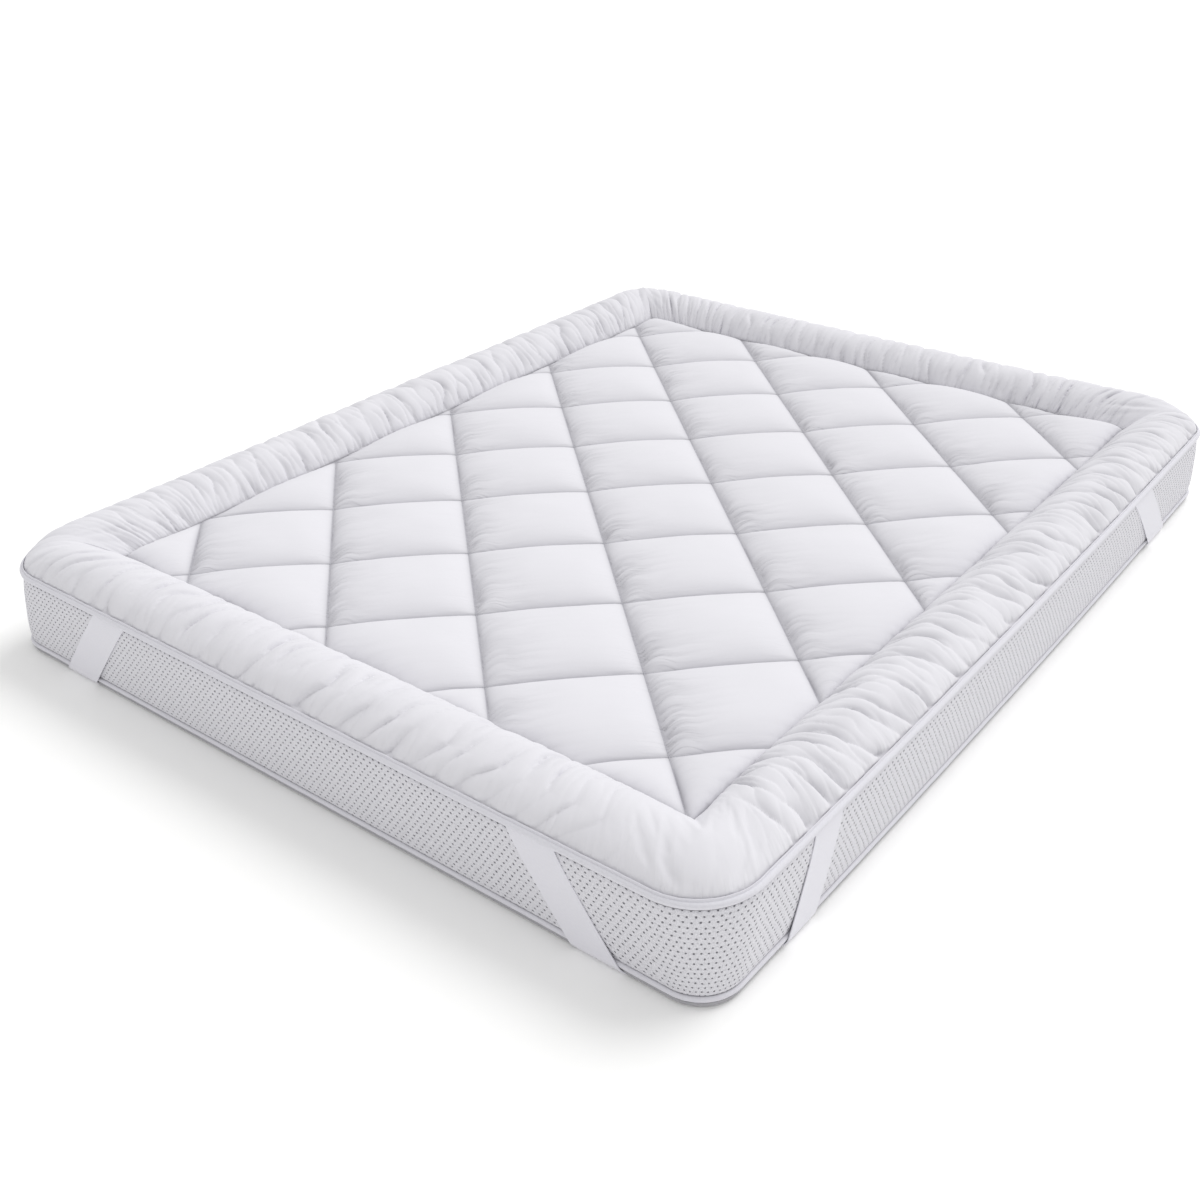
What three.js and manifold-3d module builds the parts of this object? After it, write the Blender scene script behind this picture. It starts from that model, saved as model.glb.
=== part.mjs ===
// A quilted mattress topper with a stuffed border, held on a mattress with knitted mesh sides
// by an elastic strap under each corner.
//
// Millimetres, +Z up. The origin is the middle of the mattress's flat base. The short sides face
// -Y (front) and +Y (back), the long sides face -X (left) and +X (right).

import * as THREE from 'three';
import { mergeVertices } from 'three/addons/utils/BufferGeometryUtils.js';
import Module from 'manifold-3d';

// ---- Driving dimensions -------------------------------------------------------------------

const WIDTH = 1600;             // outside of the topper's piping, along X
const LENGTH = 2000;            // outside of the topper's piping, along Y
const LONG_SIDE_BOW = 8;        // how far the middle of a long side stands out past its ends
const FIT_GAP = 0.3;            // between pieces that touch

const MATTRESS_HEIGHT = 160;
const TOP_CORNER_RADIUS = 110;  // of the plan outline, at the topper's piping
const BASE_CORNER_RADIUS = 70;  // of the plan outline, at the mattress's base

const TOP_PIPING_DIAMETER = 12;
const BASE_PIPING_DIAMETER = 10;
const BASE_PIPING_HEIGHT = 15;  // middle of the cord above the base
const BASE_PIPING_INSET = 3;    // its outside, in from the topper's piping

const BORDER_WIDTH = 158;       // from the outside of the piping to the seam with the panel
const BORDER_CREST = 220;       // top of the stuffed border
const BORDER_FULLNESS = 0.8;    // power of the arch: less is squarer
const GATHER_PITCH = 52;        // from one gather of the border to the next
const GATHER_DEPTH = 0.16;      // share of the arch that a gather takes away
const MITRE_BLEND = 350;        // length over which the sections turn from the mitre to square

const SEAM_HEIGHT = 164;        // stitched lines of the quilting and the seam with the border
const PUFF_HEIGHT = 27;         // top of a full diamond above its stitched lines
const PANEL_SHIFT = { x: 8, y: 4 };  // the panel lies a little off the middle
const PANEL_EDGE_ROLL = 70;     // width over which the panel comes down to its seam

const STRAP_WIDTH = 68;
const STRAP_THICKNESS = 2;

// Two families of parallel stitched lines: the angle of the normal to the lines, the distance
// between neighbours, and the distance of the first line from the middle of the bed.
const QUILT_LINES = {
  steep: { normalDegrees: 45.9, pitch: 253, first: 104 },
  shallow: { normalDegrees: -44.8, pitch: 228, first: -5 },
};

// The mattress's side, from the base up: a flat base, a rounded rim, the groove that takes the
// piping, and the mesh side, which swells a little and turns in under the topper.
const MATTRESS_PROFILE = [
  { height: 0, inset: 15 },
  { height: 1.5, inset: 9.5 },
  { height: 6, inset: 6 },
  { height: 9, inset: 6.5 },
  { height: 10.2, inset: 13.3 },
  { height: 19.8, inset: 13.3 },
  { height: 21, inset: 6.5 },
  { height: 34, inset: 4.2 },
  { height: 60, inset: 3 },
  { height: 95, inset: 2.6 },
  { height: 125, inset: 3.4 },
  { height: 148, inset: 5.6 },
  { height: 156, inset: 8.5 },
  { height: 160, inset: 14 },
];

// Outside face of a strap, from its sewn end under the piping down to the underside of the
// mattress. The tilt is that of the face: 0 upright, 90 lying flat under the base.
const STRAP_PROFILE = [
  { height: 159.5, inset: 4.6, tilt: 0 },
  { height: 148, inset: 2.7, tilt: 0 },
  { height: 120, inset: 0.9, tilt: 0 },
  { height: 92, inset: 0.3, tilt: 0 },
  { height: 16, inset: 0.4, tilt: 0 },
  { height: 8, inset: 1.6, tilt: 20 },
  { height: 3, inset: 4.6, tilt: 52 },
  { height: 0.4, inset: 11, tilt: 90 },
];

// Where the middle of each strap crosses the top and the bottom of the two sides of its corner.
const STRAPS = [
  { name: 'strap_front_right', sideX: 1, sideY: -1, xTop: 489, xBase: 612, yTop: 717, yBase: 785 },
  { name: 'strap_front_left', sideX: -1, sideY: -1, xTop: 497, xBase: 622, yTop: 640, yBase: 752 },
  { name: 'strap_back_right', sideX: 1, sideY: 1, xTop: 492, xBase: 612, yTop: 548, yBase: 712 },
  { name: 'strap_back_left', sideX: -1, sideY: 1, xTop: 492, xBase: 616, yTop: 620, yBase: 745 },
];

// The four lengths of the border, anticlockwise. The crease is how far the border sinks in the
// mitre at the end of each length: the front right corner is stuffed full and has none.
const BORDER_SIDES = [
  { name: 'border_front', outX: 0, outY: -1, creaseAtStart: 9, creaseAtEnd: 0, slant: -10 },
  { name: 'border_right', outX: 1, outY: 0, creaseAtStart: 0, creaseAtEnd: 12, slant: -50 },
  { name: 'border_back', outX: 0, outY: 1, creaseAtStart: 12, creaseAtEnd: 11, slant: 20 },
  { name: 'border_left', outX: -1, outY: 0, creaseAtStart: 11, creaseAtEnd: 9, slant: 35 },
];

const COLOURS = {
  percale: 0xe9e8ee,
  piping: 0xdad9df,
  mesh: 0xcdccd3,
  elastic: 0xdddce2,
};

// ---- Resolution ---------------------------------------------------------------------------

const CORNER_STEPS = 8;         // round each corner of the plan outline
const SIDE_STEPS = 6;           // along each side of it
const PIPING_SIDES = 8;
const ARCH_STEPS = 8;           // over the border from its foot to its seam
const PUFF_STEPS = 7;           // across a diamond, each way
const UNDERSIDE_STEPS = 4;      // along a strap under the mattress

// ---- Values that follow -------------------------------------------------------------------

const HALF_WIDTH = WIDTH / 2;
const HALF_LENGTH = LENGTH / 2;
const TOPPER_BASE = MATTRESS_HEIGHT + FIT_GAP;
const TOP_PIPING_HEIGHT = MATTRESS_HEIGHT + TOP_PIPING_DIAMETER / 2;
const CHORD_ROOM = 0.7;                               // for the flats of the piping round a corner
const BORDER_FOOT = TOP_PIPING_DIAMETER + FIT_GAP + CHORD_ROOM;  // inset behind the piping
const BORDER_FOOT_TOP = TOP_PIPING_HEIGHT + 3;        // where it starts to lean out over the cord
const BORDER_STITCH = 8.5;                            // inset of the border above the piping
const BORDER_STITCH_HEIGHT = TOPPER_BASE + TOP_PIPING_DIAMETER + FIT_GAP;
const PANEL = {
  left: -HALF_WIDTH + BORDER_WIDTH + PANEL_SHIFT.x,
  right: HALF_WIDTH - BORDER_WIDTH + PANEL_SHIFT.x,
  front: -HALF_LENGTH + BORDER_WIDTH + PANEL_SHIFT.y,
  back: HALF_LENGTH - BORDER_WIDTH + PANEL_SHIFT.y,
};

const mix = THREE.MathUtils.lerp;
const clamp = THREE.MathUtils.clamp;
const radians = THREE.MathUtils.degToRad;

/** A fixed uneven value between -1 and 1 for each whole number. */
function uneven(index) {
  return 2 * (Math.abs(Math.sin(index * 127.1 + 11.7) * 43758.5) % 1) - 1;
}

/** Moves a point of the plan in towards the middle near the ends of the long sides. */
function bowed(x, y) {
  return [x * (1 - (LONG_SIDE_BOW / HALF_WIDTH) * (y / HALF_LENGTH) ** 2), y];
}

/** Plan outline of the bed, drawn in by an inset, anticlockwise from its back right corner. */
function outline(inset, cornerRadius) {
  const radius = cornerRadius - inset;
  const corners = [[1, 1], [-1, 1], [-1, -1], [1, -1]];
  const arcs = corners.map(([sideX, sideY], quarter) => {
    const middleX = sideX * (HALF_WIDTH - cornerRadius);
    const middleY = sideY * (HALF_LENGTH - cornerRadius);
    const from = quarter * Math.PI / 2;
    const arc = new THREE.EllipseCurve(middleX, middleY, radius, radius, from, from + Math.PI / 2);
    return arc.getPoints(CORNER_STEPS);
  });
  const points = [];
  arcs.forEach((arc, quarter) => {
    points.push(...arc);
    const next = arcs[(quarter + 1) % arcs.length][0];
    for (let step = 1; step < SIDE_STEPS; step += 1) {
      points.push(arc.at(-1).clone().lerp(next, step / SIDE_STEPS));
    }
  });
  return points.map((point) => bowed(point.x, point.y));
}

// ---- Solids -------------------------------------------------------------------------------

/** Six times the volume that triangles enclose, below zero where their faces point inwards. */
function signedVolume(triangles) {
  const [a, b, c] = [new THREE.Vector3(), new THREE.Vector3(), new THREE.Vector3()];
  return triangles.reduce((sum, [p, q, r]) =>
    sum + a.set(...p).dot(b.set(...q).cross(c.set(...r))), 0);
}

/** A closed geometry from triangles of [x, y, z] points, with its faces pointing out. */
function solidFrom(triangles) {
  const outward = signedVolume(triangles) < 0 ? triangles.map(([a, b, c]) => [a, c, b]) : triangles;
  const geometry = new THREE.BufferGeometry();
  geometry.setAttribute('position', new THREE.Float32BufferAttribute(outward.flat(2), 3));
  const merged = mergeVertices(geometry, 1e-3);
  merged.computeVertexNormals();
  return merged;
}

/** Joins rings of points, in order, and caps both ends unless the rings close on themselves. */
function loft(rings, closed = false) {
  const triangles = [];
  const count = rings[0].length;
  const spans = closed ? rings.length : rings.length - 1;
  for (let ring = 0; ring < spans; ring += 1) {
    const here = rings[ring];
    const next = rings[(ring + 1) % rings.length];
    for (let i = 0; i < count; i += 1) {
      const j = (i + 1) % count;
      triangles.push([here[i], here[j], next[j]], [here[i], next[j], next[i]]);
    }
  }
  if (!closed) {
    triangles.push(...cap(rings[0]).map(([a, b, c]) => [a, c, b]), ...cap(rings.at(-1)));
  }
  return solidFrom(triangles);
}

/** Triangles from the middle of a ring to its edges. */
function cap(ring) {
  const middle = [0, 1, 2].map((axis) => ring.reduce((sum, p) => sum + p[axis], 0) / ring.length);
  return ring.map((point, i) => [middle, point, ring[(i + 1) % ring.length]]);
}

/** A mesh with its colour and finish. */
function piece(name, geometry, colour, roughness) {
  const material = new THREE.MeshStandardMaterial({ color: colour, roughness, metalness: 0 });
  const mesh = new THREE.Mesh(geometry, material);
  mesh.name = name;
  return mesh;
}

// ---- Mattress -----------------------------------------------------------------------------

/** Corner radius of the plan outline at a height: the corners are sharper towards the base. */
function cornerRadiusAt(height) {
  return mix(BASE_CORNER_RADIUS, TOP_CORNER_RADIUS, clamp(height / MATTRESS_HEIGHT, 0, 1));
}

/** The filled mattress, before the straps press into its underside. */
function mattressBlank() {
  const rings = MATTRESS_PROFILE.map(({ height, inset }) =>
    outline(inset, cornerRadiusAt(height)).map(([x, y]) => [x, y, height]));
  return loft(rings);
}

/** A round cord along the plan outline, its outside drawn in by an inset. */
function piping(diameter, inset, height) {
  const radius = diameter / 2;
  const path = outline(inset + radius, cornerRadiusAt(height));
  const rings = path.map(([x, y], i) => {
    const [beforeX, beforeY] = path.at(i - 1);
    const [afterX, afterY] = path[(i + 1) % path.length];
    const outward = new THREE.Vector2(afterY - beforeY, beforeX - afterX).normalize();
    return Array.from({ length: PIPING_SIDES }, (_, side) => {
      const angle = (side + 0.5) * 2 * Math.PI / PIPING_SIDES;
      const out = radius * Math.cos(angle);
      return [x + out * outward.x, y + out * outward.y, height + radius * Math.sin(angle)];
    });
  });
  return loft(rings, true);
}

// ---- Straps -------------------------------------------------------------------------------

/**
 * One elastic strap: down one side, under the corner and up the other side. Room around it and
 * outside it makes it the space that it takes from the mattress.
 */
function strap({ sideX, sideY, xTop, xBase, yTop, yBase }, roomAround = 0, roomOutside = 0) {
  const halfSpread = (top, base) =>
    (STRAP_WIDTH / 2 + roomAround) * Math.hypot(top - base, MATTRESS_HEIGHT) / MATTRESS_HEIGHT;
  const alongX = (height) => mix(xBase, xTop, height / MATTRESS_HEIGHT);
  const alongY = (height) => mix(yBase, yTop, height / MATTRESS_HEIGHT);
  const onShortSide = (along, inset, height) => [sideX * along, sideY * (HALF_LENGTH - inset), height];
  const onLongSide = (along, inset, height) => [sideX * (HALF_WIDTH - inset), sideY * along, height];

  // Each station is the pair of points [outside, inside] at one edge of the strap.
  const through = (place, along, { inset, height, tilt }) => {
    const lean = radians(tilt);
    const faces = [-roomOutside, STRAP_THICKNESS + roomAround];
    return faces.map((depth) =>
      place(along, inset + depth * Math.cos(lean), height + depth * Math.sin(lean)));
  };
  const edge = (sign) => {
    const spreadX = sign * halfSpread(xTop, xBase);
    const spreadY = sign * halfSpread(yTop, yBase);
    const down = STRAP_PROFILE.map((at) => through(onShortSide, alongX(at.height) + spreadX, at));
    const up = STRAP_PROFILE.map((at) => through(onLongSide, alongY(at.height) + spreadY, at));
    up.reverse();
    const under = [];
    for (let step = 1; step < UNDERSIDE_STEPS; step += 1) {
      const share = step / UNDERSIDE_STEPS;
      under.push([0, 1].map((face) =>
        down.at(-1)[face].map((value, axis) => mix(value, up[0][face][axis], share))));
    }
    return [...down, ...under, ...up];
  };
  const nearCorner = edge(1);
  const awayFromCorner = edge(-1);
  const rings = nearCorner.map(([outside, inside], i) => {
    const ring = [outside, awayFromCorner[i][0], awayFromCorner[i][1], inside];
    return ring.map(([x, y, z]) => [...bowed(x, y), z]);
  });
  return loft(rings);
}

// ---- Quilted panel ------------------------------------------------------------------------

/** Unit normal of a family of stitched lines. */
function lineNormal({ normalDegrees }) {
  return new THREE.Vector2(Math.cos(radians(normalDegrees)), Math.sin(radians(normalDegrees)));
}

const steepNormal = lineNormal(QUILT_LINES.steep);
const shallowNormal = lineNormal(QUILT_LINES.shallow);

/** Count of stitched lines passed at a point of the plan, with the part of the way to the next. */
function quiltPlace(x, y) {
  const { steep, shallow } = QUILT_LINES;
  return [
    (steepNormal.x * x + steepNormal.y * y - steep.first) / steep.pitch,
    (shallowNormal.x * x + shallowNormal.y * y - shallow.first) / shallow.pitch,
  ];
}

/** Point of the plan at a count of steep and of shallow stitched lines. */
function quiltPoint(steepCount, shallowCount) {
  const { steep, shallow } = QUILT_LINES;
  const a = steep.first + steep.pitch * steepCount;
  const b = shallow.first + shallow.pitch * shallowCount;
  const cross = steepNormal.cross(shallowNormal);
  return [
    (a * shallowNormal.y - b * steepNormal.y) / cross,
    (b * steepNormal.x - a * shallowNormal.x) / cross,
  ];
}

/** Height of the panel's top face: a puff in each diamond, rolled down to the seam all round. */
function panelHeight(x, y) {
  const [steep, shallow] = quiltPlace(x, y);
  const swell = (count) => Math.abs(Math.sin(Math.PI * count)) ** 0.55;
  const edgeDistance = Math.max(0, Math.min(
    x - PANEL.left, PANEL.right - x, y - PANEL.front, PANEL.back - y));
  const roll = Math.sin(Math.PI / 2 * Math.min(1, edgeDistance / PANEL_EDGE_ROLL)) ** 0.6;
  return SEAM_HEIGHT + PUFF_HEIGHT * swell(steep) * swell(shallow) * roll;
}

/** Part of a convex polygon of the plan on the inner side of the panel's seam. */
function clipToPanel(polygon) {
  const inner = FIT_GAP / 2;
  const limits = [
    ([x]) => x - PANEL.left - inner,
    ([x]) => PANEL.right - inner - x,
    ([, y]) => y - PANEL.front - inner,
    ([, y]) => PANEL.back - inner - y,
  ];
  return limits.reduce((points, distance) => points.flatMap((point, i) => {
    const before = points.at(i - 1);
    const here = distance(point);
    const there = distance(before);
    const kept = here >= 0 ? [point] : [];
    if (here * there >= 0) return kept;
    const share = there / (there - here);
    return [[mix(before[0], point[0], share), mix(before[1], point[1], share)], ...kept];
  }), polygon);
}

/** The filled panel: diamonds divided along their stitched lines and cut at the seam. */
function quiltedPanel() {
  const corners = [
    [PANEL.left, PANEL.front], [PANEL.right, PANEL.front],
    [PANEL.right, PANEL.back], [PANEL.left, PANEL.back],
  ].map(([x, y]) => quiltPlace(x, y));
  const range = (family) => {
    const counts = corners.map((corner) => corner[family]);
    return [Math.floor(Math.min(...counts)), Math.ceil(Math.max(...counts))];
  };
  const [steepFrom, steepTo] = range(0);
  const [shallowFrom, shallowTo] = range(1);
  // Steps across a diamond are closer at its stitched edges, where the puff rises fastest.
  const steps = Array.from({ length: PUFF_STEPS + 1 },
    (_, i) => (1 - Math.cos(Math.PI * i / PUFF_STEPS)) / 2);

  const triangles = [];
  const onSeam = (p, q) => [0, 1].some((axis) => {
    const sides = axis === 0 ? [PANEL.left, PANEL.right] : [PANEL.front, PANEL.back];
    return sides.some((side) =>
      Math.abs(p[axis] - side) < FIT_GAP && Math.abs(q[axis] - side) < FIT_GAP);
  });
  const top = ([x, y]) => [...bowed(x, y), panelHeight(x, y)];
  const base = ([x, y]) => [...bowed(x, y), TOPPER_BASE];
  const baseMiddle = base([PANEL_SHIFT.x, PANEL_SHIFT.y]);
  const addFace = (polygon) => {
    for (let i = 2; i < polygon.length; i += 1) {
      triangles.push([top(polygon[0]), top(polygon[i - 1]), top(polygon[i])]);
    }
    polygon.forEach((p, i) => {
      const q = polygon[(i + 1) % polygon.length];
      if (!onSeam(p, q)) return;
      triangles.push([base(p), base(q), top(q)], [base(p), top(q), top(p)]);
      triangles.push([baseMiddle, base(q), base(p)]);
    });
  };
  for (let steep = steepFrom; steep < steepTo; steep += 1) {
    for (let shallow = shallowFrom; shallow < shallowTo; shallow += 1) {
      for (let i = 0; i < PUFF_STEPS; i += 1) {
        for (let j = 0; j < PUFF_STEPS; j += 1) {
          const quad = [[i, j], [i, j + 1], [i + 1, j + 1], [i + 1, j]];
          const face = clipToPanel(quad.map(([a, b]) =>
            quiltPoint(steep + steps[a], shallow + steps[b])));
          if (face.length > 2) addFace(face);
        }
      }
    }
  }
  return solidFrom(triangles);
}

// ---- Border -------------------------------------------------------------------------------

/** One length of the stuffed border, from mitre to mitre. */
function borderLength({ outX, outY, creaseAtStart, creaseAtEnd, slant }) {
  const reach = Math.abs(outX) * HALF_WIDTH + Math.abs(outY) * HALF_LENGTH;
  const halfRun = Math.abs(outY) * HALF_WIDTH + Math.abs(outX) * HALF_LENGTH;
  // A place is given by how far along the side it is, anticlockwise, and how far out.
  const place = (along, out) => [outX * out - outY * along, outY * out + outX * along];
  const alongOf = ([x, y]) => outX * y - outY * x;
  const outOf = ([x, y]) => outX * x + outY * y;

  const panelCorners = [[PANEL.left, PANEL.front], [PANEL.right, PANEL.back],
    [PANEL.left, PANEL.back], [PANEL.right, PANEL.front]];
  const seamOut = Math.max(...panelCorners.map(outOf));
  const seamAlongs = panelCorners.map(alongOf);
  const seamFrom = Math.min(...seamAlongs);
  const seamTo = Math.max(...seamAlongs);

  // The mitre leaves the outline at the middle of each round corner.
  const mitre = halfRun - TOP_CORNER_RADIUS * (1 - Math.SQRT1_2);
  const endGap = FIT_GAP * 0.75;
  // Point at an inset from the outline, and square to it.
  const footAt = (along, inset) => {
    const past = Math.max(0, Math.abs(along) - (halfRun - TOP_CORNER_RADIUS));
    const turn = Math.asin(past / TOP_CORNER_RADIUS);
    const middleOut = reach - TOP_CORNER_RADIUS;
    return new THREE.Vector2(
      along - Math.sign(along) * inset * Math.sin(turn),
      middleOut + (TOP_CORNER_RADIUS - inset) * Math.cos(turn));
  };
  const seamAlong = (along) => {
    if (along < -mitre + MITRE_BLEND) {
      return mix(seamFrom, -mitre + MITRE_BLEND, (along + mitre) / MITRE_BLEND);
    }
    if (along > mitre - MITRE_BLEND) {
      return mix(seamTo, mitre - MITRE_BLEND, (mitre - along) / MITRE_BLEND);
    }
    return along;
  };

  // Stations alternate between the bottom of a gather and the full border between two gathers.
  const gathers = Math.round(2 * mitre / GATHER_PITCH);
  const stations = Array.from({ length: 2 * gathers + 1 }, (_, i) => {
    const isGather = i % 2 === 1;
    const shift = i > 0 && i < 2 * gathers ? 0.3 * uneven(i + 100 * outX + 37 * outY) : 0;
    const along = mix(-mitre + endGap, mitre - endGap, (i + shift) / (2 * gathers));
    const depth = isGather ? GATHER_DEPTH * (1 + 0.45 * uneven(7 * i + outX - outY)) : 0;
    return { along, depth };
  });

  const rings = stations.map(({ along, depth }) => {
    const fromEnd = mitre - Math.abs(along);
    const crease = (along < 0 ? creaseAtStart : creaseAtEnd) * Math.exp(-((fromEnd / 40) ** 2));
    const settle = Math.min(1, fromEnd / 200);
    const foot = footAt(along, BORDER_FOOT);
    const stitch = footAt(along, BORDER_STITCH);
    const seam = new THREE.Vector2(seamAlong(along), seamOut + FIT_GAP / 2);
    const point = (at, height) => [...bowed(...place(at.x, at.y)), height];
    const ring = [point(foot, TOPPER_BASE), point(foot, BORDER_FOOT_TOP)];
    for (let step = 0; step <= ARCH_STEPS; step += 1) {
      const turn = Math.PI * step / ARCH_STEPS;
      const share = (1 - Math.cos(turn)) / 2;
      const foundation = mix(BORDER_STITCH_HEIGHT, SEAM_HEIGHT, share);
      const fullArch = (BORDER_CREST - foundation - crease) * Math.sin(turn) ** BORDER_FULLNESS;
      const height = foundation + fullArch * (1 - depth * settle);
      const at = stitch.clone().lerp(seam, share);
      at.x += slant * settle * Math.sin(turn);
      ring.push(point(at, height));
    }
    ring.push(point(seam, TOPPER_BASE));
    return ring;
  });
  return loft(rings);
}

// ---- Cutting ------------------------------------------------------------------------------

const wasm = await Module();
wasm.setup();

function toManifold(geometry) {
  return new wasm.Manifold(new wasm.Mesh({
    numProp: 3,
    vertProperties: new Float32Array(geometry.getAttribute('position').array),
    triVerts: new Uint32Array(geometry.getIndex().array),
  }));
}

function withoutNormals(geometry) {
  const bare = geometry.clone();
  bare.deleteAttribute('normal');
  return mergeVertices(bare, 1e-3);
}

/** The first solid with the others cut out of it. */
function cutAway(blank, cutters) {
  const result = cutters.reduce(
    (solid, cutter) => solid.subtract(toManifold(withoutNormals(cutter))),
    toManifold(withoutNormals(blank)));
  const { vertProperties, triVerts } = result.getMesh();
  const geometry = new THREE.BufferGeometry();
  geometry.setAttribute('position', new THREE.BufferAttribute(vertProperties, 3));
  geometry.setIndex(new THREE.BufferAttribute(triVerts, 1));
  geometry.computeVertexNormals();
  return geometry;
}

// ---- The bed ------------------------------------------------------------------------------

const strapSpaces = STRAPS.map((row) => strap(row, FIT_GAP, STRAP_THICKNESS));
const mattress = cutAway(mattressBlank(), strapSpaces);

const topper = new THREE.Group();
topper.add(piece('quilted_panel', quiltedPanel(), COLOURS.percale, 0.85));
BORDER_SIDES.forEach((side) =>
  topper.add(piece(side.name, borderLength(side), COLOURS.percale, 0.85)));
topper.add(piece('top_piping', piping(TOP_PIPING_DIAMETER, 0, TOP_PIPING_HEIGHT),
  COLOURS.piping, 0.8));
STRAPS.forEach((row) => topper.add(piece(row.name, strap(row), COLOURS.elastic, 0.75)));

const base = new THREE.Group();
base.add(piece('mattress_body', mattress, COLOURS.mesh, 0.9));
base.add(piece('base_piping', piping(BASE_PIPING_DIAMETER, BASE_PIPING_INSET, BASE_PIPING_HEIGHT),
  COLOURS.piping, 0.8));

const bed = new THREE.Group();
bed.add(base, topper);

export default bed;
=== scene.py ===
# %% [markdown]
# # A quilted topper, strapped on its mattress
#
# This lesson dresses a bed that was first built as plain solids. The solids fix every size and
# place, and each cell below makes one real piece of the bed around them: the knitted mattress,
# its cords, the elastic straps, the quilted panel and the stuffed border. All lengths are metres.

# %% Load the frame
import math

import bpy
import numpy as np
from mathutils import Matrix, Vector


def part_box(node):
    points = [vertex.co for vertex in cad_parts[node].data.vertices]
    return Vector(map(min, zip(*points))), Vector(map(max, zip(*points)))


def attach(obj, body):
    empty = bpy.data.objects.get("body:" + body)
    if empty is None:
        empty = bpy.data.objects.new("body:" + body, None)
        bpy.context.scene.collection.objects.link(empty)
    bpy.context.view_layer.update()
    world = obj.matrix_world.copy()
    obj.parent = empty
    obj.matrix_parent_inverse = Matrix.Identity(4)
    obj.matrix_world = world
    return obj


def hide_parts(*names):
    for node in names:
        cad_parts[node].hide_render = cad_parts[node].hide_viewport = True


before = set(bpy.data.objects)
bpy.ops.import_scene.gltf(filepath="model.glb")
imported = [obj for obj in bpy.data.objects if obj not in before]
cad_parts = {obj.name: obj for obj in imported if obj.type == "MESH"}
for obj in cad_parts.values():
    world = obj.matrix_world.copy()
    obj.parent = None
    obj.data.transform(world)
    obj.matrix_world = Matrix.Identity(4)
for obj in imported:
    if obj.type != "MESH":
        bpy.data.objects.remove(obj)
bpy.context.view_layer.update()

print("solids:", sorted(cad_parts))

# %% [markdown]
# ## The camera
#
# The camera stands at the height of a standing person and looks down at the nearest corner. A
# focal length is easier to think of in pixels: it is the distance, in pixels, at which the frame
# would cover just what the eye sees. Blender wants it in millimetres on a sensor, so it is scaled.

# %% Camera
FRAME_PIXELS = 1200
FOCAL_PIXELS = 1377.8
SENSOR_MM = 36
CAMERA_PLACE = (1.4531, -2.0826, 1.3718)
CAMERA_TURN = math.radians(37.78)      # to the left of +Y
CAMERA_DROP = math.radians(30.08)      # below the horizon
CAMERA_ROLL = math.radians(-0.58)

camera = bpy.data.objects.new("camera", bpy.data.cameras.new("camera"))
camera.data.sensor_width = SENSOR_MM
camera.data.lens = SENSOR_MM * FOCAL_PIXELS / FRAME_PIXELS
camera.matrix_world = (
    Matrix.Translation(CAMERA_PLACE)
    @ Matrix.Rotation(CAMERA_TURN, 4, "Z")
    @ Matrix.Rotation(math.pi / 2 - CAMERA_DROP, 4, "X")
    @ Matrix.Rotation(CAMERA_ROLL, 4, "Z")
)
bpy.context.scene.collection.objects.link(camera)
bpy.context.scene.camera = camera
print("lens:", round(camera.data.lens, 2), "mm")

# %% [markdown]
# ## Colours and nodes
#
# A colour is chosen on a screen, so it is written as an sRGB hex value. Blender calculates with
# linear light, so one function turns the first into the second. A second function adds a shader
# node, sets it up and plugs things into it, so that each material below stays short to read.

# %% Helpers for colours and nodes
def linear(hex_colour):
    """An sRGB colour such as "#E8E7ED" as linear red, green, blue and alpha."""
    channels = [int(hex_colour[i:i + 2], 16) / 255 for i in (1, 3, 5)]
    return [c / 12.92 if c <= 0.04045 else ((c + 0.055) / 1.055) ** 2.4 for c in channels] + [1]


def node(tree, kind, inputs=None, **settings):
    """Adds a node with its settings. Each input is given a value, or a socket to link from."""
    added = tree.nodes.new(kind)
    for name, value in settings.items():
        setattr(added, name, value)
    for key, value in (inputs or {}).items():
        if isinstance(value, bpy.types.NodeSocket):
            tree.links.new(value, added.inputs[key])
        else:
            added.inputs[key].default_value = value
    return added


def new_material(name, colour, roughness, sheen=0.0):
    """A material with its node tree, and its shader with the values that are even all over."""
    material = bpy.data.materials.new(name)
    material.use_nodes = True
    shader = material.node_tree.nodes["Principled BSDF"]
    shader.inputs["Base Color"].default_value = linear(colour)
    shader.inputs["Roughness"].default_value = roughness
    shader.inputs["IOR"].default_value = TEXTILE_IOR
    shader.inputs["Sheen Weight"].default_value = sheen
    return material, material.node_tree, shader


TEXTILE_IOR = 1.46
MIX_FROM, MIX_TO = 6, 7                # a Mix node's colour inputs, after those for plain numbers
print("white cloth in linear light:", [round(c, 3) for c in linear("#E8E7ED")])

# %% [markdown]
# ## Floor and light
#
# The bed stands in an endless white studio. The floor is a plain sheet that is brighter than the
# cloth. Two thirds of the light comes evenly from all round. The rest comes from a sun behind the
# bed, which gives each puff a bright end and a soft grey end; shade painted into the cloth's colour
# deepens the grey. A sun of a large angle gives shadows with no hard edge. The Standard view shows
# white as white, where the default greys it.

# %% Floor and light
FLOOR_SIZE = 60
FLOOR_COLOUR = "#FDFDFC"
FLOOR_GLOW = 0.03                      # a light table shines a little from below
ROLLER_GRAIN = 900
ROLLER_RELIEF = 0.02
SKY_STRENGTH = 0.74
SUN_STRENGTH = 1.42
SUN_SPREAD = math.radians(36)
SUN_HEIGHT = math.radians(51)
SUN_BEARING = math.radians(78)         # from +X towards +Y

bpy.ops.object.select_all(action="DESELECT")
bpy.ops.mesh.primitive_plane_add(size=FLOOR_SIZE)
floor = bpy.context.active_object
floor.name = "floor"
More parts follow.
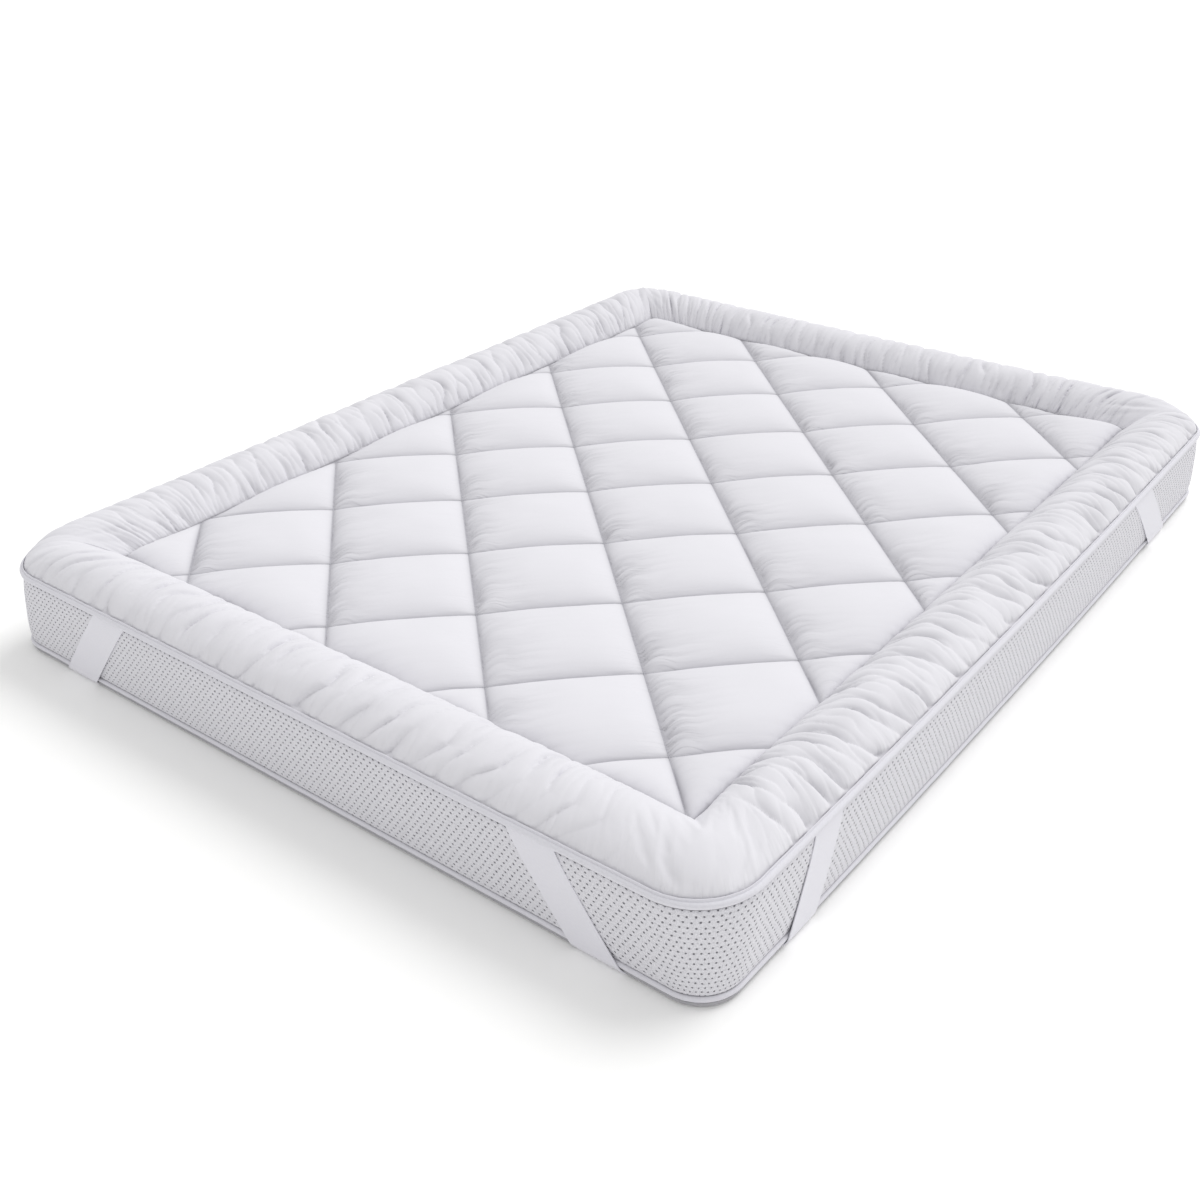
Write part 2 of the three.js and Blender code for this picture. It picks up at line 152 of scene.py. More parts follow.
# Rolled matt paint: an even white with no gloss.
paint, tree, shader = new_material("white studio paint", FLOOR_COLOUR, roughness=0.95)
grain = node(tree, "ShaderNodeTexNoise", {"Scale": ROLLER_GRAIN})
bump = node(tree, "ShaderNodeBump", {
    "Strength": ROLLER_RELIEF, "Height": grain.outputs["Fac"]})
tree.links.new(bump.outputs["Normal"], shader.inputs["Normal"])
shader.inputs["Emission Color"].default_value = linear(FLOOR_COLOUR)
shader.inputs["Emission Strength"].default_value = FLOOR_GLOW
floor.data.materials.append(paint)

world = bpy.data.worlds.new("studio")
world.use_nodes = True
world.node_tree.nodes["Background"].inputs["Color"].default_value = (1, 1, 1, 1)
world.node_tree.nodes["Background"].inputs["Strength"].default_value = SKY_STRENGTH
bpy.context.scene.world = world
bpy.context.scene.view_settings.view_transform = "Standard"

sun = bpy.data.objects.new("sun", bpy.data.lights.new("sun", "SUN"))
sun.data.energy = SUN_STRENGTH
sun.data.angle = SUN_SPREAD
sun.rotation_euler = (0, math.pi / 2 - SUN_HEIGHT, SUN_BEARING)
bpy.context.scene.collection.objects.link(sun)
print("floor", FLOOR_SIZE, "m wide, sun", round(math.degrees(SUN_HEIGHT)), "degrees high")

# %% [markdown]
# ## The cloths
#
# Six textiles are sewn into this bed. Each pattern is set out in the piece's own map, which
# holds real metres along and across the cloth, so a pattern follows the cloth round a corner.
#
# Percale is a fine plain weave. Its threads are four to a millimetre, far too fine to show, so
# the weave is drawn about four times as coarse and very faint. What the eye does see is the
# pucker beside each seam, where the needle has drawn the cloth together: short wrinkles that
# start at the stitches and die out. The attribute named pucker says how near a seam is, and the
# one named across counts the metres across the wrinkles, which bend. A third attribute says
# where shade is painted into the colour: in the creases, along the seams and on the sides of the
# puffs that lie in shade.

# %% Percale
WAVE_REPEAT = 0.314                    # length after which a wave texture of scale 1 repeats
THREAD_SPACING = 0.0011                # drawn coarser than the real 0.25 mm
THREAD_RELIEF = 0.00005
PUCKER_SPACING = 0.013
PUCKER_LENGTH = 0.085
PUCKER_DEPTH = 0.0015
CREASE_WIDTH = 0.16                    # of a pucker's valley, in the units of the noise
CLOUD_SCALE = 9                        # the dye takes a little unevenly over a hand's width
# The pale and deep tones vary at random; the third colour is painted shade.
PERCALE_PALE, PERCALE_DEEP, PERCALE_PAINTED_SHADE = "#E4E3E8", "#DFDEE3", "#A8A7AD"


def percale_material():
    """Fine cotton percale: smooth, white with a breath of lavender, puckered at its seams."""
    # To the eye it is matt and even. The puckers and a trace of weave break the light, and shade is
    # painted into its colour in the creases.
    material, tree, shader = new_material(
        "cotton percale", "#E4E3E9", roughness=0.88, sheen=0.08)
    cloth = node(tree, "ShaderNodeUVMap", uv_map="cloth").outputs["UV"]
    flat_place = node(tree, "ShaderNodeSeparateXYZ", {0: cloth})
    across = node(tree, "ShaderNodeAttribute", attribute_name="across").outputs["Fac"]
    wrinkle_place = node(tree, "ShaderNodeCombineXYZ", {
        "X": across, "Y": flat_place.outputs["Y"]})
    stretched = node(tree, "ShaderNodeMapping", {
        "Vector": wrinkle_place.outputs[0], "Scale": (1 / PUCKER_SPACING, 1 / PUCKER_LENGTH, 1)})
    ripple = node(tree, "ShaderNodeTexNoise", {
        "Vector": stretched.outputs["Vector"], "Scale": 1, "Detail": 1.5, "Roughness": 0.5})
    # Noise crosses its middle along thin lines: those become the valleys between the puckers.
    off_middle = node(tree, "ShaderNodeMath", {0: ripple.outputs["Fac"], 1: 0.5},
                      operation="SUBTRACT")
    distance = node(tree, "ShaderNodeMath", {0: off_middle.outputs[0]}, operation="ABSOLUTE")
    ridge = node(tree, "ShaderNodeMapRange", {
        "Value": distance.outputs[0], "From Min": 0, "From Max": CREASE_WIDTH},
        interpolation_type="SMOOTHSTEP")
    nearness = node(tree, "ShaderNodeAttribute", attribute_name="pucker").outputs["Fac"]
    drawn_in = node(tree, "ShaderNodeMath", {
        0: ridge.outputs[0], 1: nearness}, operation="MULTIPLY").outputs["Value"]
    seams = node(tree, "ShaderNodeBump", {
        "Height": drawn_in, "Distance": PUCKER_DEPTH, "Strength": 1})

    waves = []
    for direction in ("X", "Y"):
        wave = node(tree, "ShaderNodeTexWave", {
            "Vector": cloth, "Scale": WAVE_REPEAT / THREAD_SPACING, "Distortion": 0.4,
            "Detail": 1}, bands_direction=direction)
        waves.append(wave.outputs["Fac"])
    weave = node(tree, "ShaderNodeMath", {0: waves[0], 1: waves[1]}, operation="MULTIPLY")
    threads = node(tree, "ShaderNodeBump", {
        "Height": weave.outputs["Value"], "Distance": THREAD_RELIEF, "Strength": 0.5,
        "Normal": seams.outputs["Normal"]})
    tree.links.new(threads.outputs["Normal"], shader.inputs["Normal"])

    cloudy = node(tree, "ShaderNodeTexNoise", {
        "Vector": cloth, "Scale": CLOUD_SCALE, "Detail": 3})
    tint = node(tree, "ShaderNodeMix", {
        0: cloudy.outputs["Fac"], MIX_FROM: linear(PERCALE_PALE), MIX_TO: linear(PERCALE_DEEP)},
        data_type="RGBA")
    # Painted shade: the colour darkens where a crease, a seam or a puff's shaded slope would lose
    # light.
    painted_shade = node(tree, "ShaderNodeAttribute", attribute_name="painted_shade").outputs["Fac"]
    shaded = node(tree, "ShaderNodeMix", {
        0: painted_shade, MIX_FROM: tint.outputs[2], MIX_TO: linear(PERCALE_PAINTED_SHADE)}, data_type="RGBA")
    tree.links.new(shaded.outputs[2], shader.inputs["Base Color"])
    return material


percale = percale_material()
print("made", percale.name)

# %% [markdown]
# The mattress side is spacer mesh: two knitted faces held apart by stiff threads, with rows of
# small oval holes, each row shifted by half a hole. Cosines repeat, so the product of one cosine
# along the cloth and a slower one across it is highest exactly at such shifted places. Where the
# product is near its top there is a hole: darker, because light is lost in it, and sunk. The
# slower cosine counts three times, which makes each hole wider than it is high.

# %% Spacer mesh
HOLE_SPACING = 0.0122
HOLE_ROW_SPACING = 0.0080
HOLE_FLATNESS = 3                      # how often the slower cosine counts: an odd number
HOLE_EDGE, HOLE_FLOOR = 0.48, 0.88     # the product of the cosines at a hole's edge and floor
CUSHION_FOOT = 0.93                    # and where the knit between the holes ends
HOLE_DEPTH = 0.0016
RIB_DEPTH = 0.0014
KNIT_SCALE = 420
SPECKLE_FROM, SPECKLE_TO = 0.35, 0.75  # the part of the knit's noise that shades it
SPECKLE_MOST = 0.42
WOBBLE_SCALE, WOBBLE = 60, 0.004       # a knit's rows are never quite straight
MESH_PALE, MESH_HOLE, MESH_SPECKLE = "#E8E7EC", "#706F76", "#AAA9B0"


def spacer_mesh_material():
    """Polyester spacer mesh: pale grey knit with sunken dark holes and fine knitted ribs."""
    # To the eye it is a dry grey speckle with rows of small dark dashes.
    material, tree, shader = new_material(
        "polyester spacer mesh", "#D9D8DE", roughness=0.92, sheen=0.05)
    cloth = node(tree, "ShaderNodeUVMap", uv_map="cloth").outputs["UV"]
    wobble = node(tree, "ShaderNodeTexNoise", {
        "Vector": cloth, "Scale": WOBBLE_SCALE, "Detail": 1})
    shift = node(tree, "ShaderNodeVectorMath", {
        0: wobble.outputs["Color"], "Scale": WOBBLE}, operation="SCALE")
    shifted = node(tree, "ShaderNodeVectorMath", {0: cloth, 1: shift.outputs[0]}, operation="ADD")
    place = node(tree, "ShaderNodeSeparateXYZ", {0: shifted.outputs[0]})
    cosines = []
    for axis, spacing in (("X", HOLE_SPACING), ("Y", 2 * HOLE_ROW_SPACING)):
        turn = node(tree, "ShaderNodeMath", {
            0: place.outputs[axis], 1: 2 * math.pi / spacing}, operation="MULTIPLY")
        cosine = node(tree, "ShaderNodeMath", {0: turn.outputs[0]}, operation="COSINE")
        cosines.append(cosine.outputs[0])
    peaks = cosines[0]
    for _ in range(HOLE_FLATNESS):
        peaks = node(tree, "ShaderNodeMath", {
            0: peaks, 1: cosines[1]}, operation="MULTIPLY").outputs[0]
    hole = node(tree, "ShaderNodeMapRange", {
        "Value": peaks, "From Min": HOLE_EDGE, "From Max": HOLE_FLOOR},
        interpolation_type="SMOOTHSTEP")
    cushion = node(tree, "ShaderNodeMapRange", {
        "Value": peaks, "From Min": -1, "From Max": CUSHION_FOOT, "To Min": 1, "To Max": 0})
    knit = node(tree, "ShaderNodeTexNoise", {"Vector": cloth, "Scale": KNIT_SCALE, "Detail": 2})
    colour = node(tree, "ShaderNodeMix", {
        0: hole.outputs[0], MIX_FROM: linear(MESH_PALE), MIX_TO: linear(MESH_HOLE)},
        data_type="RGBA")
    speckle = node(tree, "ShaderNodeMapRange", {
        "Value": knit.outputs["Fac"], "From Min": SPECKLE_FROM, "From Max": SPECKLE_TO,
        "To Max": SPECKLE_MOST})
    speckled = node(tree, "ShaderNodeMix", {
        0: speckle.outputs[0], MIX_FROM: colour.outputs[2], MIX_TO: linear(MESH_SPECKLE)},
        data_type="RGBA")
    tree.links.new(speckled.outputs[2], shader.inputs["Base Color"])
    rise = node(tree, "ShaderNodeMath", {
        0: cushion.outputs[0], 1: hole.outputs[0]}, operation="SUBTRACT")
    sunk = node(tree, "ShaderNodeBump", {
        "Height": rise.outputs[0], "Distance": HOLE_DEPTH, "Strength": 0.8})
    ribs = node(tree, "ShaderNodeBump", {
        "Height": knit.outputs["Fac"], "Distance": RIB_DEPTH, "Strength": 0.8,
        "Normal": sunk.outputs["Normal"]})
    tree.links.new(ribs.outputs["Normal"], shader.inputs["Normal"])
    return material


spacer_mesh = spacer_mesh_material()
print("made", spacer_mesh.name, "with holes", HOLE_SPACING * 1000, "mm apart")

# %% [markdown]
# The rest are simpler: ribs that a wave texture draws, roughened by the noise of the fibres. They
# differ in colour, in how far apart their ribs lie and in how those are turned.

# %% Tape, elastic, nonwoven and thread
FIBRE_SCALE = 260
RIB_DISTORTION = 0.6
RIB_STRENGTH = 0.7


def ribbed_material(name, colour, shade, spacing, turn, depth, roughness):
    """A woven narrow cloth whose ribs lie a set distance apart, turned by an angle."""
    material, tree, shader = new_material(name, colour, roughness, sheen=0.1)
    cloth = node(tree, "ShaderNodeUVMap", uv_map="cloth").outputs["UV"]
    turned = node(tree, "ShaderNodeMapping", {"Vector": cloth, "Rotation": (0, 0, turn)})
    ribs = node(tree, "ShaderNodeTexWave", {
        "Vector": turned.outputs["Vector"], "Scale": WAVE_REPEAT / spacing,
        "Distortion": RIB_DISTORTION, "Detail": 1}, bands_direction="X")
    fibres = node(tree, "ShaderNodeTexNoise", {
        "Vector": cloth, "Scale": FIBRE_SCALE, "Detail": 3})
    height = node(tree, "ShaderNodeMath", {
        0: ribs.outputs["Fac"], 1: fibres.outputs["Fac"]}, operation="ADD")
    bump = node(tree, "ShaderNodeBump", {
        "Height": height.outputs[0], "Distance": depth, "Strength": RIB_STRENGTH})
    tree.links.new(bump.outputs["Normal"], shader.inputs["Normal"])
    tint = node(tree, "ShaderNodeMix", {
        0: fibres.outputs["Fac"], MIX_FROM: linear(colour), MIX_TO: linear(shade)},
        data_type="RGBA")
    tree.links.new(tint.outputs[2], shader.inputs["Base Color"])
    return material


# Twill tape, cut on the bias: slantwise lines that make a smooth band slightly silky.
bias_tape = ribbed_material(
    "polyester twill bias tape", "#E4E3E9", "#D9D8DF",
    spacing=0.0012, turn=math.radians(45), depth=0.00012, roughness=0.75)
# Woven elastic: rubber threads show as fine ribs along a flat, plain white strap.
elastic_web = ribbed_material(
    "woven elastic webbing", "#E9E8EE", "#E1E0E7",
    spacing=0.0016, turn=math.radians(90), depth=0.00010, roughness=0.7)
# Nonwoven felt, spun and pressed: a dull grey with a coarse embossed grain.
nonwoven = ribbed_material(
    "grey polypropylene nonwoven", "#B4B3B7", "#A3A2A6",
    spacing=0.0030, turn=0, depth=0.00015, roughness=0.95)
# Spun thread: a thin line whose grey, darker than the cloth, is painted shade of the valley it lies
# in.
thread = ribbed_material(
    "spun polyester thread", "#C6C5CC", "#BAB9C1",
    spacing=0.0008, turn=math.radians(30), depth=0.00005, roughness=0.6)
print("made", ", ".join(cloth.name for cloth in (bias_tape, elastic_web, nonwoven, thread)))

# %% [markdown]
# ## Helpers for meshes
#
# Nearly every piece here is a strip of cloth that is sewn into a ring or a tube. So each starts
# as a flat grid primitive, whose points are then laid in place row by row, its two ends are
# merged where it closes, and its map is written in metres of real cloth.

# %% Helpers for meshes
def only(piece):
    """Makes the piece the only selected object, and the active one."""
    bpy.ops.object.select_all(action="DESELECT")
    piece.select_set(True)
    bpy.context.view_layer.objects.active = piece


def points_of(piece):
    """The places of a mesh's points, a row of x, y and z for each."""
    places = np.empty(len(piece.data.vertices) * 3)
    piece.data.vertices.foreach_get("co", places)
    return places.reshape(-1, 3)


def put(piece, places):
    """Moves a mesh's points to these places."""
    piece.data.vertices.foreach_set("co", np.asarray(places, dtype=np.float32).ravel())
    piece.data.update()


def cloth_grid(name, places, cloth):
    """A grid of cloth with its points at places[row, column], and its map from cloth alike."""
    rows, columns = places.shape[:2]
    bpy.ops.object.select_all(action="DESELECT")
    bpy.ops.mesh.primitive_grid_add(x_subdivisions=columns - 1, y_subdivisions=rows - 1)
    piece = bpy.context.active_object
    piece.name = piece.data.name = name
    put(piece, places.reshape(-1, 3))
    map_cloth(piece, cloth.reshape(-1, 2))
    return piece


def map_cloth(piece, places):
    """Writes the map named cloth, from a place in metres for each point."""
    layer = piece.data.uv_layers[0]
    layer.name = "cloth"
    corners = np.empty(len(piece.data.loops), dtype=np.int32)
    piece.data.loops.foreach_get("vertex_index", corners)
    layer.data.foreach_set("uv", np.asarray(places, dtype=np.float32)[corners].ravel())


def edit(piece, *steps):
    """Runs edit-mode steps on everything in the piece."""
    only(piece)
    bpy.ops.object.mode_set(mode="EDIT")
    bpy.ops.mesh.select_all(action="SELECT")
    for step in steps:
        step()
    bpy.ops.object.mode_set(mode="OBJECT")


def merge(distance=0.0001):
    """Joins points that lie on each other."""
    bpy.ops.mesh.remove_doubles(threshold=distance)


def face_out():
    """Turns every face so that its front is outside."""
    bpy.ops.mesh.select_all(action="SELECT")
    bpy.ops.mesh.normals_make_consistent(inside=False)


def select_open_edges():
    """Selects the edges that have a face on one side only."""
    bpy.ops.mesh.select_all(action="DESELECT")
    bpy.ops.mesh.select_non_manifold(extend=False, use_wire=False, use_multi_face=False,
                                     use_non_contiguous=False, use_verts=False)


def close_holes():
    """Fills every open edge loop with one flat face."""
    select_open_edges()
    bpy.ops.mesh.edge_face_add()


def finish_piece(piece, material, sharp_above=60):
    """Gives the piece its cloth and its place on the bed, and says how large it is."""
    if material.name not in piece.data.materials:
        piece.data.materials.append(material)
    only(piece)
    bpy.ops.object.shade_smooth_by_angle(angle=math.radians(sharp_above))
    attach(piece, "root")
    triangles = sum(len(face.vertices) - 2 for face in piece.data.polygons)
    print(piece.name, "has", triangles, "triangles and measures",
          [round(length * 1000) for length in piece.dimensions], "mm")


# %% [markdown]
# ## The plan of the bed
#
# The bed is a rectangle with round corners. Its long sides bow out by a few millimetres, because
# foam gives most in the middle. One function draws that outline, drawn in by an inset, always
# with the same number of points, so that the rings of a piece can be joined one above another.
# The outer sizes are read from the solids, so the pieces fit them also when those change.

# %% Plan
_, piping_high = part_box("top_piping")
_, mattress_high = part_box("mattress_body")
panel_low, panel_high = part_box("quilted_panel")

HALF_WIDTH = round(piping_high.x, 3)
HALF_LENGTH = round(piping_high.y, 3)
MATTRESS_TOP = mattress_high.z
BOW = 0.008 / HALF_WIDTH               # share by which a long side's ends lie further in
TOP_CORNER = 0.110                     # corner radius at the topper
BASE_CORNER = 0.070                    # and at the mattress's base
SHARPEST_CORNER = 0.006
FIT_GAP = 0.0003                       # left between two pieces that touch
CORNER_STEPS = 24
SIDE_STEP = 0.008


def bowed(places):
    """Draws the ends of the long sides in a little."""
    moved = np.array(places, dtype=float)
    moved[..., 0] *= 1 - BOW * (moved[..., 1] / HALF_LENGTH) ** 2
    return moved


def ring(inset, corner):
    """Closed plan outline, anticlockwise from +X; its last point is its first."""
    radius = max(corner - inset, SHARPEST_CORNER)
    middle = np.array([HALF_WIDTH - inset - radius, HALF_LENGTH - inset - radius])
    arcs = []
    for quarter, side in enumerate(((1, 1), (-1, 1), (-1, -1), (1, -1))):
        turn = np.linspace(0, math.pi / 2, CORNER_STEPS + 1) + quarter * math.pi / 2
        arcs.append(middle * side + radius * np.stack([np.cos(turn), np.sin(turn)], axis=1))
    lengths = [2 * (HALF_WIDTH - TOP_CORNER), 2 * (HALF_LENGTH - TOP_CORNER)] * 2
    points = []
    for arc, after, length in zip(arcs, arcs[1:] + arcs[:1], lengths):
        share = np.linspace(0, 1, round(length / SIDE_STEP) + 1)[1:-1, None]
        points += [arc, arc[-1] * (1 - share) + after[0] * share]
    points.append(arcs[0][:1])
    return bowed(np.concatenate(points))


def corner_at(height):
    """The corner radius grows from the base of the mattress to its top."""
    share = np.clip(height / MATTRESS_TOP, 0, 1)
    return BASE_CORNER + (TOP_CORNER - BASE_CORNER) * share


def run_along(points):
    """Distance along a line of points, from its first."""
    steps = np.linalg.norm(np.diff(points, axis=0), axis=1)
    return np.concatenate([[0], np.cumsum(steps)])


AROUND = run_along(ring(0, TOP_CORNER))
print("once round the bed:", round(AROUND[-1], 3), "m in", len(AROUND), "points")

# %% [markdown]
# ## The straps' route
#
# Each elastic strap is sewn under the topper's cord, runs slantwise down one side, under the
# corner of the mattress and up the other side. The route comes before the mattress, because the
# straps press into its base. A strap is stiff across its width, so its edges stay straight.

# %% Strap route
STRAP_WIDTH = 0.068
STRAP_THICKNESS = 0.0016
STRAP_COLUMNS = 9
STRAP_TURN_RADIUS = 0.015              # where it turns under the mattress
STRAP_LOWEST = 0.0004
SIDE_ROWS, TURN_ROWS, UNDER_STEPS = 26, 9, 13  # points down a side, round a turn and under it
# Where the middle of each strap crosses the top and the base of the two sides of its corner.
STRAPS = {
    "strap_front_right": {"side": (1, -1), "x": (0.489, 0.612), "y": (0.717, 0.785)},
    "strap_front_left": {"side": (-1, -1), "x": (0.463, 0.590), "y": (0.640, 0.752)},
    "strap_back_right": {"side": (1, 1), "x": (0.492, 0.612), "y": (0.548, 0.712)},
    "strap_back_left": {"side": (-1, 1), "x": (0.492, 0.616), "y": (0.620, 0.745)},
}
# Height and inset of the strap's outside, from its sewn end down to where it turns under.
STRAP_SIDE = np.array([(0.1595, 0.0048), (0.148, 0.0028), (0.120, 0.0011), (0.092, 0.0005),
                       (0.060, 0.0002), (0.030, 0.0002), (0.0154, 0.0004)])


def strap_profile():
    """Height and inset of the outside of a strap, from its top to where it lies flat."""
    heights = np.linspace(STRAP_SIDE[0, 0], STRAP_SIDE[-1, 0], SIDE_ROWS)
    insets = np.interp(heights, STRAP_SIDE[::-1, 0], STRAP_SIDE[::-1, 1])
    turn = np.linspace(0, math.pi / 2, TURN_ROWS)[1:]
    round_heights = STRAP_LOWEST + STRAP_TURN_RADIUS * (1 - np.sin(turn))
    round_insets = STRAP_SIDE[-1, 1] + STRAP_TURN_RADIUS * (1 - np.cos(turn))
    return np.concatenate([heights, round_heights]), np.concatenate([insets, round_insets])


def strap_points(side, x, y):
    """Outside of a strap as rows of points, from the short side's end to the long side's."""
    heights, insets = strap_profile()
    across = np.linspace(1, -1, STRAP_COLUMNS)
    flanks = []
    for (top, base), on_short_side in ((x, True), (y, False)):
        middle = np.interp(heights, [0, MATTRESS_TOP], [base, top])
        slope = math.hypot(top - base, MATTRESS_TOP) / MATTRESS_TOP
        along = middle[:, None] + across * STRAP_WIDTH / 2 * slope
        out = (HALF_LENGTH if on_short_side else HALF_WIDTH) - insets[:, None] + 0 * along
        plan = (along, out) if on_short_side else (out, along)
        flanks.append(np.stack([plan[0] * side[0], plan[1] * side[1],
                                heights[:, None] + 0 * along], axis=-1))
    down, up = flanks[0], flanks[1][::-1]
    share = np.linspace(0, 1, UNDER_STEPS + 1)[1:-1, None, None]
    under = down[-1] * (1 - share) + up[0] * share
    return bowed(np.concatenate([down, under, up]))


STRAP_POINTS = {name: strap_points(**route) for name, route in STRAPS.items()}
for name, points in STRAP_POINTS.items():
    print(name, "is", round(run_along(points[:, STRAP_COLUMNS // 2])[-1], 3), "m long")

# %% [markdown]
# ## The mattress
#
# A foam mattress has no frame: its knitted side is pulled over the foam, swells a little in the
# middle and turns in at both seams. A bevelled box has the same outline, but no groove for the
# cord and no map that runs round it. So the piece is a stack of rings, from the middle of the base
# out to the rim, over the groove that the cord is sewn into, up the side and in under the topper.

# %% Mattress shape
BASE_INSETS = (0.42, 0.30, 0.24, 0.20, 0.17, 0.14, 0.115, 0.095, 0.075, 0.058, 0.042, 0.028,
               0.015)
# Height and inset of the rings at the rim, with the groove for the cord.
RIM = [(0.0015, 0.0095), (0.0035, 0.0072), (0.0060, 0.0060), (0.0090, 0.0065), (0.0102, 0.0125),
       (0.0198, 0.0125), (0.0210, 0.0070)]
SIDE_FOOT, SIDE_HEAD = 0.0225, 0.1565  # heights of its lowest and its highest ring
SIDE_RINGS = 26
SIDE_INSET = 0.0026
SIDE_SWELL = 0.0046                    # how far it turns in at its seams
SIDE_MIDDLE = 0.090
SIDE_REACH = 0.070
TOP_INSETS = (0.0135, 0.05)            # the last rings lie under the topper


def mattress_rings():
    """Height and inset of each ring, from the middle of the base to the top."""
    side_heights = np.linspace(SIDE_FOOT, SIDE_HEAD, SIDE_RINGS)
    side_insets = SIDE_INSET + SIDE_SWELL * ((side_heights - SIDE_MIDDLE) / SIDE_REACH) ** 4
    return ([(0, inset) for inset in BASE_INSETS] + RIM + list(zip(side_heights, side_insets))
            + [(MATTRESS_TOP, inset) for inset in TOP_INSETS])


rings = mattress_rings()
print("the mattress has", len(rings), "rings")

# %% Straps under the base
STRAP_ROOM = 0.0027                    # a strap lifts the base by this much
LIFT_MARGIN = 0.010                    # and lifts it this far beside itself
LIFT_BLEND = 0.008
BASE_BELOW, STRAP_BELOW = 0.004, 0.002  # heights under which points belong to the base


def pressed_by_straps(points):
    """Raises the points of the base that lie over a strap."""
    raised = points.copy()
    low = points[..., 2] < BASE_BELOW
    for strap in STRAP_POINTS.values():
        middle = strap[:, STRAP_COLUMNS // 2]
        under = middle[middle[:, 2] < STRAP_BELOW][:, :2]
        start, end = under[0], under[-1]
        along = (end - start) / np.linalg.norm(end - start)
        offset = points[..., :2] - start
        beside = np.abs(offset[..., 0] * along[1] - offset[..., 1] * along[0])
        lift = STRAP_ROOM * np.clip((STRAP_WIDTH / 2 + LIFT_MARGIN - beside) / LIFT_BLEND, 0, 1)
        raised[..., 2] = np.where(low, np.maximum(raised[..., 2], lift), raised[..., 2])
    return raised


plans = [ring(inset, corner_at(height)) for height, inset in rings]
body = np.stack([np.column_stack([plan, np.full(len(plan), height)])
                 for plan, (height, inset) in zip(plans, rings)])
across = run_along(np.array([(inset, height) for height, inset in rings]))
cloth = np.stack(np.meshgrid(AROUND, across - across[len(BASE_INSETS) + len(RIM)]), axis=-1)
print("the straps press in up to", round(STRAP_ROOM * 1000, 1), "mm")

# %% Mattress
FOAM_WAVE = 0.0005                     # foam is never quite flat
# Its slow waves, its fine ones and the groups these come in, all in radians to the metre.
SLOW_WAVES, FINE_WAVES, FINE_GROUPS = 9.1, 23.7, 3.1
FINE_SHARE, FINE_START = 0.7, 1.3      # how strong the fine ones are, and where they begin
SIDE_DEPTH = 0.03                      # points within this of a side move out with it
MESH_LOW, MESH_HIGH = 0.0205, 0.158    # the knitted band; the rest is nonwoven

fine_wave = (FINE_SHARE * np.sin(AROUND * FINE_WAVES + FINE_START)
             * np.sin(AROUND * FINE_GROUPS))
wave = np.sin(AROUND * SLOW_WAVES) + fine_wave
swell = np.clip(1 - ((body[:, :, 2] - SIDE_MIDDLE) / SIDE_REACH) ** 2, 0, 1)
at_side = np.abs(body[:, :, :2]) > [HALF_WIDTH - SIDE_DEPTH, HALF_LENGTH - SIDE_DEPTH]
outward = np.sign(body[:, :, :2]) * at_side
body[:, :, :2] += outward * (FOAM_WAVE * wave * swell)[:, :, None]
body = pressed_by_straps(body)

mattress = cloth_grid("mattress", body, cloth)
edit(mattress, merge, close_holes, face_out)
mattress.data.materials.append(spacer_mesh)
mattress.data.materials.append(nonwoven)
for face in mattress.data.polygons:
    face.material_index = 0 if MESH_LOW < face.center.z < MESH_HIGH else 1
finish_piece(mattress, spacer_mesh)
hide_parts("mattress_body")

# %% [markdown]
# ## The cords
#
# A sewn-in cord hides each raw edge: a round core wrapped in a bias-cut tape, whose two edges lie
# flat in the seam as a flange. Along the topper the flange stands up against the border and shows
# as a second narrow band. The tape is slightly puckered, so the cord's thickness varies.
#
# A curve with a round bevel would make the core, but not its flange. So the cord's section is
# drawn as points and carried round the plan outline, one row of the grid for each of its points.

# %% Cords
CORD_SIDES = 16
TOP_CORD_RADIUS = 0.0056
BASE_CORD_RADIUS = 0.0045
TOP_CORD_HEIGHT = MATTRESS_TOP + 0.0060
BASE_CORD_HEIGHT = 0.015
BASE_CORD_INSET = 0.003
FLANGE_HEIGHT = 0.0036
FLANGE_THICKNESS = 0.0011
FLANGE_LEAN = (0.0004, 0.0007)         # inwards, at its bend and at its edge
FLANGE_BEND = 0.6                      # share of its height
FLANGE_FROM, FLANGE_TO = math.radians(100), math.radians(112)
# Shares of the thickness, each with its radians to the metre: a pucker every 30 mm, which is
# not quite evenly spaced, and a slower change.
TAPE_PUCKER, TAPE_PUCKERS = 0.018, 210
PUCKER_DRIFT, PUCKER_DRIFTS = 2, 31    # this one is an angle, by which the puckers run ahead
TAPE_SWELL, TAPE_SWELLS = 0.02, 47


def cord_section(radius, flange):
    """Outline of a cord and its flange, as distances out of and above the core's middle."""
    turn = np.linspace(0, 2 * math.pi, CORD_SIDES + 1)[:-1]
    section = radius * np.stack([np.cos(turn), np.sin(turn)], axis=1)
    if not flange:
        return section
    before, after = section[turn < FLANGE_FROM], section[turn >= FLANGE_TO]
    bend_in, edge_in = FLANGE_LEAN
    bend, edge = FLANGE_HEIGHT * FLANGE_BEND, FLANGE_HEIGHT
    fin = before[-1] + np.array([
        (-bend_in, bend), (-edge_in, edge),
        (-edge_in - FLANGE_THICKNESS, edge), (-bend_in - FLANGE_THICKNESS, bend)])
    return np.concatenate([before, fin, after])


